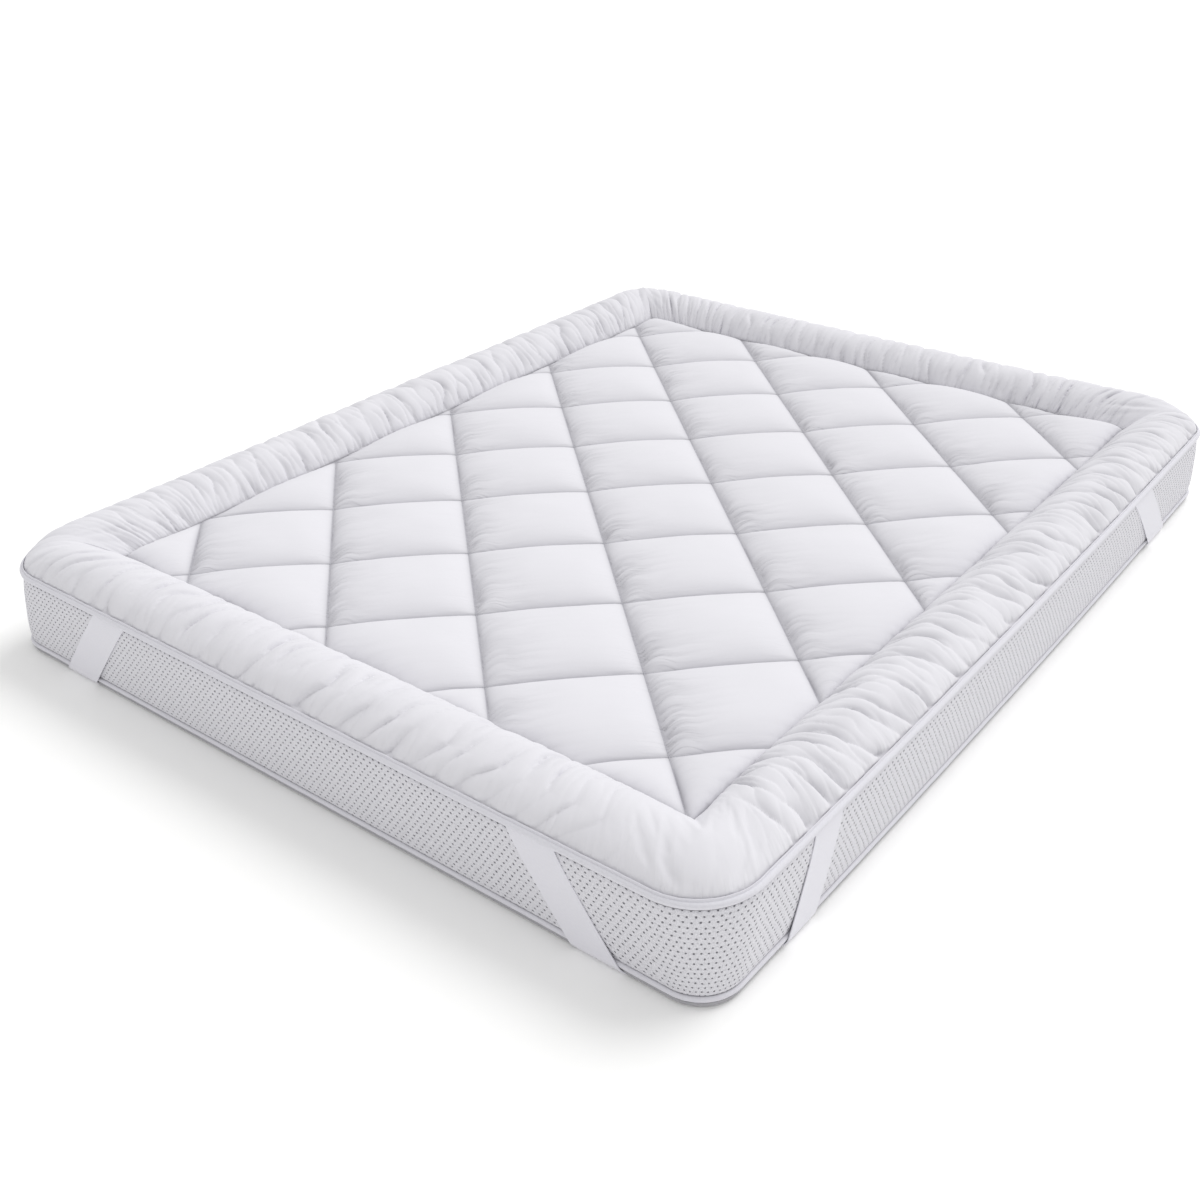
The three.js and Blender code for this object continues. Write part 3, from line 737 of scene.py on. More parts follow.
def cord_round_the_bed(name, radius, inset, height, flange=False):
    """A cord laid round the plan outline, with its outside at an inset."""
    path = ring(inset + radius, corner_at(height))
    ahead = np.roll(path[:-1], -1, axis=0) - np.roll(path[:-1], 1, axis=0)
    ahead = np.concatenate([ahead, ahead[:1]])
    outward = np.stack([ahead[:, 1], -ahead[:, 0]], axis=1)
    outward /= np.linalg.norm(outward, axis=1)[:, None]
    section = cord_section(radius, flange)
    section = np.concatenate([section, section[:1]])
    drift = PUCKER_DRIFT * np.sin(AROUND * PUCKER_DRIFTS)
    uneven = (1 + TAPE_PUCKER * np.sin(AROUND * TAPE_PUCKERS + drift)
              + TAPE_SWELL * np.sin(AROUND * TAPE_SWELLS))
    places = np.empty((len(section), len(path), 3))
    for row, (out, up) in enumerate(section):
        places[row, :, :2] = path + outward * (out * uneven)[:, None]
        places[row, :, 2] = height + up * uneven
    girth = run_along(section)
    cloth = np.stack(np.meshgrid(AROUND, girth), axis=-1)
    piece = cloth_grid(name, places, cloth)
    edit(piece, merge, face_out)
    return piece


base_cord = cord_round_the_bed("base_cord", BASE_CORD_RADIUS, BASE_CORD_INSET, BASE_CORD_HEIGHT)
finish_piece(base_cord, bias_tape)
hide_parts("base_piping")
top_cord = cord_round_the_bed("topper_cord", TOP_CORD_RADIUS, 0, TOP_CORD_HEIGHT, flange=True)
finish_piece(top_cord, bias_tape)
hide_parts("top_piping")

# %% [markdown]
# ## The straps
#
# A strap is one flat band, held stretched, so it needs no simulation: it lies straight between the
# places where it turns. The rows of points that were worked out above become a grid of elastic.
# Solidify then gives it its thickness, on the inner side, so that its outside stays on the route.

# %% Straps
for name, points in STRAP_POINTS.items():
    length = run_along(points[:, STRAP_COLUMNS // 2])
    widths = np.linspace(0, STRAP_WIDTH, STRAP_COLUMNS)
    web = cloth_grid(name.replace("strap", "elastic"), points,
                     np.stack(np.meshgrid(widths, length), axis=-1))
    lowest = min(web.data.polygons, key=lambda face: face.center.z)
    if lowest.normal.z > 0:
        web.data.flip_normals()
    only(web)
    thicken = web.modifiers.new("thickness", "SOLIDIFY")
    thicken.thickness = STRAP_THICKNESS
    thicken.offset = -1
    bpy.ops.object.modifier_apply(modifier=thicken.name)
    finish_piece(web, elastic_web, sharp_above=50)
    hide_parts(name)

# %% [markdown]
# ## Stuffing by simulation
#
# A stuffed piece gets its folds from its cut: the cloth is larger than the place that it is sewn
# into, and the filling blows it up until it has to buckle. So the simulation is given two shapes,
# the place where the cloth starts and the larger shape that it was cut to. The sewn points are
# held. Afterwards no point may lie further than a cap from where it started.

# %% Stuffing
FRAMES = 14
CLOTH_QUALITY = 4
POINT_MASS = 0.02                      # light points settle within these few frames
SHEAR_SHARE = 1 / 3                    # a weave shears more easily than it stretches


def stuff(piece, cut, sewn, pressure, stiffness, bending, most):
    """Blows the cloth up, held at its sewn points, and keeps the folds that it takes."""
    start = points_of(piece)
    piece.shape_key_add(name="start")
    cut_key = piece.shape_key_add(name="cut")
    cut_key.data.foreach_set("co", np.asarray(cut, dtype=np.float32).ravel())
    cut_key.value = 0
    group = piece.vertex_groups.new(name="sewn")
    group.add(np.flatnonzero(sewn).tolist(), 1.0, "REPLACE")

    simulation = piece.modifiers.new("cloth", "CLOTH")
    simulation.collision_settings.use_collision = False
    simulation.point_cache.frame_end = FRAMES
    settings = simulation.settings
    settings.quality = CLOTH_QUALITY
    settings.mass = POINT_MASS
    settings.tension_stiffness = settings.compression_stiffness = stiffness
    settings.shear_stiffness = stiffness * SHEAR_SHARE
    settings.bending_stiffness = bending
    settings.use_pressure = True
    settings.uniform_pressure_force = pressure
    settings.effector_weights.gravity = 0
    settings.vertex_group_mass = "sewn"
    settings.rest_shape_key = cut_key
    for frame_number in range(1, FRAMES + 1):
        bpy.context.scene.frame_set(frame_number)
    only(piece)
    bpy.ops.object.convert(target="MESH")
    piece.vertex_groups.clear()

    moved = points_of(piece) - start
    length = np.linalg.norm(moved, axis=1)
    kept = np.minimum(1, most / np.maximum(length, 1e-9))
    put(piece, start + moved * kept[:, None])
    print(piece.name, "moved by up to", round(length.max() * 1000, 1), "mm, on average",
          round(length.mean() * 1000, 1))


def smooth_once(piece, sharp_edges):
    """One level of subdivision, with creases along the given edges."""
    crease = piece.data.attributes.new("crease_edge", "FLOAT", "EDGE")
    crease.data.foreach_set("value", sharp_edges.astype(np.float32))
    only(piece)
    smoother = piece.modifiers.new("smoother", "SUBSURF")
    smoother.levels = smoother.render_levels = 1
    bpy.ops.object.modifier_apply(modifier=smoother.name)
    piece.data.attributes.remove(piece.data.attributes["crease_edge"])


def edges_of(piece):
    """The two points of each edge, as two arrays of indices."""
    ends = np.empty(len(piece.data.edges) * 2, dtype=np.int32)
    piece.data.edges.foreach_get("vertices", ends)
    return ends[0::2], ends[1::2]


# %% [markdown]
# ## Wrinkles
#
# The simulation gives the large soft form. The sharp little valleys where cloth buckles are far
# finer than its mesh, so they are pressed in afterwards. Smooth noise crosses zero along thin
# winding lines, which run on, meet and close into lens shapes, just as wrinkles do. Stretching
# the noise makes the lines run one way.

# %% Wrinkles
NOISE_CELLS = 128
NOISE_GAIN = 1.5                       # brings its range to about -1 to 1


def noise(x, y, seed):
    """Smooth random numbers, from about -1 to 1, that change over one unit of x or y."""
    angles = np.random.default_rng(seed).uniform(0, 2 * math.pi, (NOISE_CELLS, NOISE_CELLS))
    column, row = np.floor(x).astype(int), np.floor(y).astype(int)
    across, up = x - column, y - row
    total = np.zeros(np.shape(x))
    for right in (0, 1):
        for above in (0, 1):
            angle = angles[(column + right) % NOISE_CELLS, (row + above) % NOISE_CELLS]
            slope = np.cos(angle) * (across - right) + np.sin(angle) * (up - above)
            beside = 1 - np.abs(across - right)
            over = 1 - np.abs(up - above)
            total += slope * beside ** 2 * (3 - 2 * beside) * over ** 2 * (3 - 2 * over)
    return NOISE_GAIN * total


def valleys(x, y, seed, width):
    """1 along the thin lines where the noise is zero, and 0 away from them."""
    return np.exp(-np.abs(noise(x, y, seed)) / width)


def fade(distance, length):
    """1 at no distance, dying out over about this length."""
    return np.exp(-np.maximum(distance, 0) / length)


def cloth_places(piece):
    """Each point's place on the map named cloth."""
    corners = np.empty(len(piece.data.loops), dtype=np.int32)
    piece.data.loops.foreach_get("vertex_index", corners)
    values = np.empty(len(corners) * 2, dtype=np.float32)
    piece.data.uv_layers["cloth"].data.foreach_get("uv", values)
    places = np.zeros((len(piece.data.vertices), 2))
    places[corners] = values.reshape(-1, 2)
    return places


def press(piece, depths, nearness, across, painted_shade):
    """Moves each point along its normal, and notes for the material its wrinkles and its painted
    shade.
    """
    normals = np.empty(len(piece.data.vertices) * 3, dtype=np.float32)
    piece.data.vertex_normals.foreach_get("vector", normals)
    put(piece, points_of(piece) + normals.reshape(-1, 3) * depths[:, None])
    noted = {"pucker": nearness, "across": across, "painted_shade": np.clip(painted_shade, 0, 1)}
    for name, values in noted.items():
        attribute = piece.data.attributes.new(name, "FLOAT", "POINT")
        attribute.data.foreach_set("value", values.astype(np.float32))


# %% [markdown]
# ## The quilted panel
#
# Two families of quilting lines cross at right angles and run slantwise over the bed. A place
# on the panel can be told by two numbers: how many lines of each family lie before it. Where
# either number is whole there is a line of stitches, so a grid that is laid out in those numbers
# has its rows exactly on the lines, and needs only to be cut to the panel's rectangle. A grid
# along the bed's sides would cross the lines askew, and no seam could follow its edges.

# %% Quilting grid
SEAM_HEIGHT = 0.164
PUFF_HEIGHT = 0.029
LEFT, RIGHT = round(panel_low.x, 3), round(panel_high.x, 3)
FRONT, BACK = round(panel_low.y, 3), round(panel_high.y, 3)
LINE_NORMALS = np.radians([45.9, -44.8])
LINE_PITCHES = np.array([0.253, 0.228])
LINE_FIRSTS = np.array([0.104, -0.005])
LINE_COUNTS = ((-5, 4), (-5, 5))
GRID_STEPS = (16, 38)                  # across a diamond, each way, before the subdivision
GRID_BUNCHING = (0.70, 0.30)           # how much closer the rows lie at the lines
ON_EDGE = 0.0004                       # nearer than this, a point is on the panel's edge
CUT_MERGE = 0.0006                     # points this near each other are one, after the cut
ACROSS_LINES = np.stack([np.cos(LINE_NORMALS), np.sin(LINE_NORMALS)])


def quilt_counts(places):
    """How many lines of each family lie before a place."""
    return (places[..., :2] @ ACROSS_LINES.T - LINE_FIRSTS) / LINE_PITCHES


def quilt_place(counts):
    """The place where the families have these counts."""
    return (counts * LINE_PITCHES + LINE_FIRSTS) @ np.linalg.inv(ACROSS_LINES).T


def edge_distance(places):
    """Distance from the nearest side of the panel's rectangle."""
    return np.minimum.reduce([places[..., 0] - LEFT, RIGHT - places[..., 0],
                              places[..., 1] - FRONT, BACK - places[..., 1]])


def bunched(first, last, steps, bunching):
    """Counts from the first line to the last, closer together near whole ones."""
    turns = np.linspace(first, last, (last - first) * steps + 1)
    return turns - bunching * np.sin(2 * math.pi * turns) / (2 * math.pi)


def cut_to_panel():
    """Cuts a flat grid along the four sides of the panel."""
    for place, outward in (((LEFT, 0, 0), (-1, 0, 0)), ((RIGHT, 0, 0), (1, 0, 0)),
                           ((0, FRONT, 0), (0, -1, 0)), ((0, BACK, 0), (0, 1, 0))):
        bpy.ops.mesh.select_all(action="SELECT")
        bpy.ops.mesh.bisect(plane_co=place, plane_no=outward, clear_outer=True,
                            threshold=ON_EDGE)
    bpy.ops.mesh.select_all(action="SELECT")
    merge(CUT_MERGE)


steep, shallow = (bunched(*count, steps, bunching) for count, steps, bunching
                  in zip(LINE_COUNTS, GRID_STEPS, GRID_BUNCHING))
counts = np.stack(np.meshgrid(shallow, steep), axis=-1)[..., ::-1]
flat = quilt_place(counts)
panel = cloth_grid("quilted_panel_cloth", np.concatenate([flat, 0 * flat[..., :1]], axis=-1),
                   (counts * LINE_PITCHES)[..., ::-1])
edit(panel, cut_to_panel)
if panel.data.polygons[0].normal.z < 0:
    panel.data.flip_normals()
print("the panel's grid has", len(panel.data.vertices), "points")

# %% [markdown]
# The filling lifts each diamond off its lines. The cloth was cut a little large, more so along
# the steep lines, whose stitches drew it in most.

# %% Puffs
PANEL_FULLNESS = (0.07, 0.04)          # extra cloth along the steep and the shallow lines
ON_LINE = 0.001                        # nearer than this to a whole count, a point is sewn
EDGE_ROLL = 0.050                      # the filling thins out over this distance from the edge
PUFF_POWER, ROLL_POWER = 0.55, 0.6     # under 1, so that a puff is blunt and not a wave
FIRST_FILL = 0.8                       # how full the puffs are before the cloth is blown up


def puff_height(places):
    """Height of the panel above its stitched lines, as a share of a full puff."""
    swell = np.abs(np.sin(math.pi * quilt_counts(places))) ** PUFF_POWER
    roll = np.sin(math.pi / 2 * np.clip(edge_distance(places) / EDGE_ROLL, 0, 1)) ** ROLL_POWER
    return swell[..., 0] * swell[..., 1] * roll


def on_lines(places):
    """Whether each point lies on a steep line, a shallow line or the panel's edge."""
    counts = quilt_counts(places)
    on_line = np.abs(counts - np.round(counts)) < ON_LINE
    return np.column_stack([on_line, edge_distance(places) < ON_EDGE])


laid = points_of(panel)
held = on_lines(laid)
laid[:, 2] = SEAM_HEIGHT + FIRST_FILL * PUFF_HEIGHT * puff_height(laid)
put(panel, laid)
cut_counts = quilt_counts(laid) * [1 + PANEL_FULLNESS[1], 1 + PANEL_FULLNESS[0]]
cut = np.column_stack([quilt_place(cut_counts), np.full(len(laid), SEAM_HEIGHT)])
stuff(panel, cut, held.any(axis=1), pressure=20, stiffness=15, bending=0.1, most=0.012)

first, second = edges_of(panel)
smooth_once(panel, (held[first] & held[second]).any(axis=1))

# %% [markdown]
# The filling pushes the crown of a puff up flat, and the cloth comes down steeply at the lines.
# The wrinkles on it are measured from the stitches, so each point's distances from them come first.

# %% Crowns and distances
CROWN_POWER = 0.80                     # under 1, so that the puffs are steep at the lines
HIGHEST_RISE = 1.1
EDGE_CLEAR = 0.012                     # no wrinkles this near the edge
LINE_CLEAR = 0.010                     # and few this near a shallow line
SAME_POINT = 0.0002
LINE_SHIFT = 7.3                       # so that no two lines have the same wrinkles

dressed = points_of(panel)
rise = np.clip((dressed[:, 2] - SEAM_HEIGHT) / PUFF_HEIGHT, 0, HIGHEST_RISE)
print("puffs rise", round(np.percentile(rise, 99) * PUFF_HEIGHT * 1000, 1), "mm")
dressed[:, 2] = SEAM_HEIGHT + PUFF_HEIGHT * rise ** CROWN_POWER
put(panel, dressed)

steep_count, shallow_count = quilt_counts(dressed).T
past_line = (steep_count - np.floor(steep_count)) * LINE_PITCHES[0]
before_line = LINE_PITCHES[0] - past_line
past_line = np.where(before_line < SAME_POINT, 0, past_line)
across_steep = steep_count * LINE_PITCHES[0]
along_line = shallow_count * LINE_PITCHES[1]
beside_shallow = np.abs(shallow_count - np.round(shallow_count)) * LINE_PITCHES[1]
share_along = shallow_count - np.floor(shallow_count)
from_edge = edge_distance(dressed)
inside = np.clip(from_edge / EDGE_CLEAR, 0, 1)
clear = inside * (1 - fade(beside_shallow, LINE_CLEAR))
line_shift = np.floor(steep_count) * LINE_SHIFT

# %% [markdown]
# The steep lines are sewn in the stretchy direction of the cloth, so a fan of wrinkles starts
# from each, bends over and dies out on the puff. Finer ones lie between them. The far side of a
# line has short weak ones, and so have the shallow lines, where the cloth is only gathered.

# %% Panel wrinkles
FAN_SPACING = 0.021
FAN_LENGTH = 0.042
FAN_DEPTH = 0.0070
FAN_LEAN = 0.9                         # how a wrinkle leaves its line, and how fast it bends back
FAN_BEND = 18.0
FAN_RUN = 0.09                         # wrinkles keep their course over this length
FAN_LEAST, FAN_GROWTH, FAN_CHANCE = 0.35, 0.8, 0.7  # strength, its gain along a line, its noise
FAN_LIMITS = (0.12, 1.4)
FAN_GROWTH_POWER = 1.5
FAN_CHANGES = 1.7                      # changes of strength from one line to the next
FINE_SPACING, FINE_LENGTH = 0.45, 0.4  # of the finer wrinkles, as shares of the fan's
FINE_RUN = 0.05
FINE_DEPTH = 0.25
FAR_SPACING, FAR_LENGTH, FAR_RUN = 0.030, 0.045, 0.10
FAR_LEAN = 0.3
FAR_DEPTH = 0.0009
GATHER_SPACING, GATHER_LENGTH, GATHER_RUN = 0.021, 0.012, 0.25
GATHER_DEPTH = 0.0006
DENT_SIZE = 0.07
DENT_CHANGES = 3.1                     # and of the dents, from one line to the next
DENT_RISE = 1.5                        # dents are full from two thirds of a puff's height
DENT_DEPTH = 0.0012


def seam_wrinkles(across, along, seed, width, distance, reach, start):
    """Thin valleys that start just off a seam and die out over their reach."""
    return (valleys(across, along, seed, width)
            * fade(distance, reach) * (1 - fade(distance, start)))


bent = along_line + np.maximum(FAN_LEAN * past_line - FAN_BEND * past_line ** 2, 0)
growth = FAN_GROWTH * share_along ** FAN_GROWTH_POWER
chance = FAN_CHANCE * noise(along_line / FAN_RUN, steep_count * FAN_CHANGES, seed=21)
strong = np.clip(FAN_LEAST + growth + chance, *FAN_LIMITS)
fans = seam_wrinkles(
    bent / FAN_SPACING + line_shift, past_line / FAN_RUN, seed=22, width=0.30,
    distance=past_line, reach=FAN_LENGTH, start=0.003)
fine_fans = seam_wrinkles(
    bent / (FINE_SPACING * FAN_SPACING) + line_shift, past_line / FINE_RUN, seed=23, width=0.2,
    distance=past_line, reach=FINE_LENGTH * FAN_LENGTH, start=0.003)
far_ends = seam_wrinkles(
    (along_line - FAR_LEAN * before_line) / FAR_SPACING + line_shift, before_line / FAR_RUN,
    seed=24, width=0.16, distance=before_line, reach=FAR_LENGTH, start=0.004)
gathered = seam_wrinkles(
    across_steep / GATHER_SPACING, shallow_count / GATHER_RUN, seed=25, width=0.2,
    distance=beside_shallow, reach=GATHER_LENGTH, start=0.003)
dents = (noise(along_line / DENT_SIZE, steep_count * DENT_CHANGES, seed=26)
         * np.clip(rise * DENT_RISE, 0, 1))
depths = (-FAN_DEPTH * strong * clear * (fans + FINE_DEPTH * fine_fans)
          - FAR_DEPTH * clear * far_ends - GATHER_DEPTH * inside * gathered
          + DENT_DEPTH * dents * inside)
print("the deepest wrinkle is", round(-depths.min() * 1000, 1), "mm")

# %% [markdown]
# The material needs to know where the cloth is puckered and where shade is painted into its
# colour: in the stitched valleys, in the wrinkles, and a little on the slopes that lead down to a
# line.

# %% Panel shade
# How strong the pucker is beside each kind of line, and how far it reaches.
STEEP_PUCKER, FAR_PUCKER, SHALLOW_PUCKER = (0.9, 0.035), (0.35, 0.025), (0.25, 0.010)
# How much shade is painted at a place, and how far that reaches.
STEEP_SHADE, SHALLOW_SHADE, EDGE_SHADE = (0.75, 0.0035), (0.6, 0.0028), (0.8, 0.004)
SLOPE_SHADE, END_SHADE = (0.24, 0.032), (0.18, 0.032)
FAN_SHADE = 0.50


def near(distance, strength_and_reach):
    """A strength at no distance, dying out over a reach."""
    strength, reach = strength_and_reach
    return strength * fade(distance, reach)


nearness = np.clip(strong * (near(past_line, STEEP_PUCKER) + near(before_line, FAR_PUCKER))
                   + near(beside_shallow, SHALLOW_PUCKER), 0, 1)
# Painted shade, mixed into the cloth's colour: dark in the valleys and fans, and on the puffs'
# slopes that lie in shade.
painted_shade = (near(np.minimum(past_line, before_line), STEEP_SHADE)
          + near(beside_shallow, SHALLOW_SHADE) + near(from_edge, EDGE_SHADE)
          + FAN_SHADE * strong * clear * fans + near(past_line, SLOPE_SHADE)
          + near((1 - share_along) * LINE_PITCHES[1], END_SHADE))
press(panel, depths, nearness, bent, painted_shade)
dressed = points_of(panel)

# %% Panel's closed form
def drop_walls():
    """Turns the open edge down, so that the panel has a thickness, and closes it below."""
    select_open_edges()
    bpy.ops.mesh.extrude_edges_move(
        TRANSFORM_OT_translate={"value": (0, 0, MATTRESS_TOP + FIT_GAP - SEAM_HEIGHT)})
    bpy.ops.mesh.edge_face_add()


put(panel, np.column_stack([bowed(dressed[:, :2]), dressed[:, 2]]))
edit(panel, drop_walls, face_out)
finish_piece(panel, percale, sharp_above=70)
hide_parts("quilted_panel")

# %% [markdown]
# The panel's own stitches come last. A lockstitch thread shows, dips through the cloth and shows
# again, so each line of quilting is a thin thread that goes up and down by its own thickness.
# Single stitches would be thousands of pieces for the same look.

# %% Quilting thread
STITCH_LENGTH = 0.004
THREAD_RADIUS = 0.0005
THREAD_HEIGHT = SEAM_HEIGHT + 0.0003
THREAD_WAVE = 0.0006
THREAD_END = 0.004                     # a thread ends this far inside the panel's edge
LINE_REACH = 1.4                       # half the length of a line before it is cut to the panel
THREAD_SIDES = 4
SHORTEST_LINE = 4                      # points; a shorter end is left out


def quilting_line(family, number):
    """The points of one line of stitches, two to a stitch, or none where it misses the panel."""
    along = np.arange(-LINE_REACH, LINE_REACH, STITCH_LENGTH / 2)
    counts = np.empty((len(along), 2))
    counts[:, family] = number
    counts[:, 1 - family] = along / LINE_PITCHES[1 - family]
    places = quilt_place(counts)
    return places[edge_distance(places) > THREAD_END]


def thread_along(places):
    """A thin tube of thread along these points."""
    ahead = np.gradient(places, axis=0)
    beside = np.column_stack([-ahead[:, 1], ahead[:, 0]])
    beside /= np.linalg.norm(beside, axis=1)[:, None]
    turn = np.linspace(0, 2 * math.pi, THREAD_SIDES + 1)
    height = THREAD_HEIGHT + THREAD_WAVE * np.cos(math.pi * np.arange(len(places)))
    tube = np.empty((len(turn), len(places), 3))
    tube[:, :, :2] = places + beside * (THREAD_RADIUS * np.cos(turn))[:, None, None]
    tube[:, :, 2] = height + (THREAD_RADIUS * np.sin(turn))[:, None]
    cloth = np.stack(np.meshgrid(run_along(places), turn * THREAD_RADIUS), axis=-1)
    tube[:, :, :2] = bowed(tube[:, :, :2])
    return cloth_grid("quilting_thread", tube, cloth)


threads = []
for family, (first_line, last_line) in enumerate(LINE_COUNTS):
    for number in range(first_line, last_line + 1):
        line = quilting_line(family, number)
        if len(line) > SHORTEST_LINE:
            threads.append(thread_along(line))
only(threads[0])
for piece in threads:
    piece.select_set(True)
bpy.ops.object.join()
quilting = bpy.context.active_object
edit(quilting, lambda: merge(THREAD_RADIUS / 10), close_holes, face_out)
finish_piece(quilting, thread)

# %% [markdown]
# ## The stuffed border
#
# The border is a tube of cloth round the panel: sewn to the cord at its foot, over its filling,
# and down to the seam with the panel. Its cloth is longer than the bed's side, so it folds across
# all the way round. The folds were drawn askew when it was sewn on, each side in its own way.
#
# Here it is three pieces. Round the front right corner the cloth runs on without a mitre, so the
# front and the right side are one piece. A round tube would look like a cushion roll: the real
# section is low and wide, with its crest nearer the foot. So each length is a row of sections,
# called stations, from the foot over the crest to the seam, which turn with the corners.

# %% Border sections
STATION_STEP = 0.0060
ARCH_STEPS = 36
CREST = 0.216
ARCH_LEAN = 0.72                       # under 1, so that the crest is nearer the foot
ARCH_POWER = 0.85
BORDER_STITCH = (0.0086, 0.1727)       # inset and height where the border is sewn to the cord
BORDER_UNDER = 0.0132                  # inset of its inner edge, behind the cord
MITRE_BLEND = 0.35                     # the sections turn towards a mitre over this distance
MITRE_WIDTH = 0.040
ARCH_SIZE = (0.145, 0.047)             # width and height, to space the rows by
ARCH_SAMPLES = 400
# Outward direction, and how far the border sinks in the mitre at its start and its end.
SIDES = {
    "front": {"out": (0, -1), "sinks": (0.009, 0)},
    "right": {"out": (1, 0), "sinks": (0, 0.012)},
    "back": {"out": (0, 1), "sinks": (0.012, 0)},
    "left": {"out": (-1, 0), "sinks": (0, 0.009)},
}
SEAM_OUT = {"front": -FRONT, "right": RIGHT, "back": BACK, "left": -LEFT}


def stations_of(side):
    """For each station of a side: its place along, its foot and seam in plan, and its sink."""
    out = np.array(SIDES[side]["out"], dtype=float)
    ahead = np.array([-out[1], out[0]])
    half, reach = (HALF_LENGTH, HALF_WIDTH) if out[0] else (HALF_WIDTH, HALF_LENGTH)
    mitre = half - TOP_CORNER * (1 - math.sqrt(0.5)) - FIT_GAP / 2
    corners = [np.array(corner) @ ahead for corner in
               ((LEFT, FRONT), (RIGHT, BACK), (LEFT, BACK), (RIGHT, FRONT))]
    along = np.linspace(-mitre, mitre, round(2 * mitre / STATION_STEP) + 1)

    def foot(inset):
        turn = np.arcsin(np.clip((np.abs(along) - (half - TOP_CORNER)) / TOP_CORNER, 0, 1))
        beside = along - np.sign(along) * inset * np.sin(turn)
        away = reach - TOP_CORNER + (TOP_CORNER - inset) * np.cos(turn)
        return beside[:, None] * ahead + away[:, None] * out

    seam_along = np.interp(along, [-mitre, -mitre + MITRE_BLEND, mitre - MITRE_BLEND, mitre],
                           [min(corners) - FIT_GAP, -mitre + MITRE_BLEND, mitre - MITRE_BLEND,
                            max(corners) + FIT_GAP])
    seam = seam_along[:, None] * ahead + (SEAM_OUT[side] + FIT_GAP) * out
    sinks = np.where(along < 0, *SIDES[side]["sinks"])
    sink = sinks * np.exp(-(((mitre - np.abs(along)) / MITRE_WIDTH) ** 2))
    return {"along": along, "foot": foot(BORDER_STITCH[0]), "under": foot(BORDER_UNDER),
            "seam": seam, "sink": sink}


def arch_rise(share):
    """Height of the arch, from its foot at 0 to the panel's seam at 1."""
    return np.sin(math.pi * np.clip(share, 0, 1) ** ARCH_LEAN) ** ARCH_POWER


def arch_shares():
    """Places across the arch, spaced so that the rows lie evenly over the cloth."""
    shares = (1 - np.cos(np.linspace(0, math.pi, ARCH_SAMPLES))) / 2
    width, height = ARCH_SIZE
    run = run_along(np.column_stack([width * shares, height * arch_rise(shares)]))
    return np.interp(np.linspace(0, run[-1], ARCH_STEPS + 1), run, shares)


def join_stations(sides):
    """The stations of one or more sides in a row; where two sides meet they share a station."""
    parts = [stations_of(side) for side in sides]
    starts = [0] + [1] * (len(parts) - 1)
    return {key: np.concatenate([part[key][start:] for part, start in zip(parts, starts)])
            for key in parts[0]}


print("the border has", sum(len(stations_of(side)["along"]) for side in SIDES), "stations")

# %% [markdown]
# The cut shape is the arch rolled out flat round the panel, and then stretched along each side.
# Beyond the panel's corners it is only moved, so a corner keeps the extra cloth that its fan of
# sections gives it. The tube is closed below by a few rows behind the cord and under the panel.

# %% Border tube
EXTRA_ALONG = 0.07
EXTRA_OVER = 0.02
UNDER_ROWS = 2                         # rows of the tube before the sewn foot
UNDER_RUNS = [0, 0.012]                # the cloth's run at each of them
FOOT_RUN = 0.017                       # and at the foot
CLOSING_RUNS = np.array([0.004, 0.15])  # and past the arch, in the rows that close the tube
UNDER_DROP = 0.0006                    # the row behind the cord lies lower than the stitches


def arch_places(at, share):
    """The arch over each station, from its foot to its seam."""
    base = BORDER_STITCH[1] + (SEAM_HEIGHT - BORDER_STITCH[1]) * share
    crest = CREST - at["sink"]
    plan = at["foot"][:, None] * (1 - share[:, None]) + at["seam"][:, None] * share[:, None]
    height = base + (crest[:, None] - base) * arch_rise(share)
    return np.concatenate([plan, height[..., None]], axis=-1)


def cut_places(at, from_seam):
    """The same cloth as it was cut: flat, and larger than the place it is sewn into."""
    outward = at["foot"] - at["seam"]
    outward /= np.linalg.norm(outward, axis=1)[:, None]
    cut = at["seam"][:, None] + outward[:, None] * from_seam[..., None] * (1 + EXTRA_OVER)
    cut = cut + EXTRA_ALONG * np.clip(cut, [LEFT, FRONT], [RIGHT, BACK])
    return np.concatenate([cut, 0 * cut[..., :1] + SEAM_HEIGHT], axis=-1)


def level(plan_row, row_height):
    """A row of the tube at one height."""
    return np.column_stack([plan_row, np.full(len(plan_row), row_height)])[:, None]


def border_tube(name, sides):
    """The tube as it is sewn, the shape it was cut to, and which points are sewn."""
    at = join_stations(sides)
    arch = arch_places(at, arch_shares())
    over = np.linalg.norm(np.diff(arch, axis=1), axis=-1)
    from_foot = np.concatenate([0 * over[:, :1], np.cumsum(over, axis=1)], axis=1)
    cut = cut_places(at, from_foot[:, -1:] - from_foot)

    low = MATTRESS_TOP + FIT_GAP
    before = [level(at["under"], low), level(at["under"], BORDER_STITCH[1] - UNDER_DROP)]
    after = [level(at["seam"], low), before[0]]
    places = np.concatenate(before + [arch] + after, axis=1)
    cut = np.concatenate(before + [cut] + after, axis=1)
    whole = from_foot[:, -1].mean()
    rows = np.concatenate([UNDER_RUNS, FOOT_RUN + np.linspace(0, whole, ARCH_STEPS + 1),
                           FOOT_RUN + whole + CLOSING_RUNS])
    run = run_along(at["foot"])
    cloth = np.stack(np.meshgrid(run, rows, indexing="ij"), axis=-1)
    tube = cloth_grid(name, places.transpose(1, 0, 2), cloth.transpose(1, 0, 2))
    edit(tube, face_out)
    row, station = np.divmod(np.arange(len(tube.data.vertices)), len(places))
    sewn = ((row <= UNDER_ROWS) | (row >= UNDER_ROWS + ARCH_STEPS)
            | (station == 0) | (station == len(places) - 1))
    corner_run = run[len(stations_of(sides[0])["along"]) - 1] if len(sides) > 1 else -1
    return tube, cut.transpose(1, 0, 2).reshape(-1, 3), sewn, row, whole, corner_run


print("the border's cloth is", round(EXTRA_ALONG * 100), "% longer than its place")

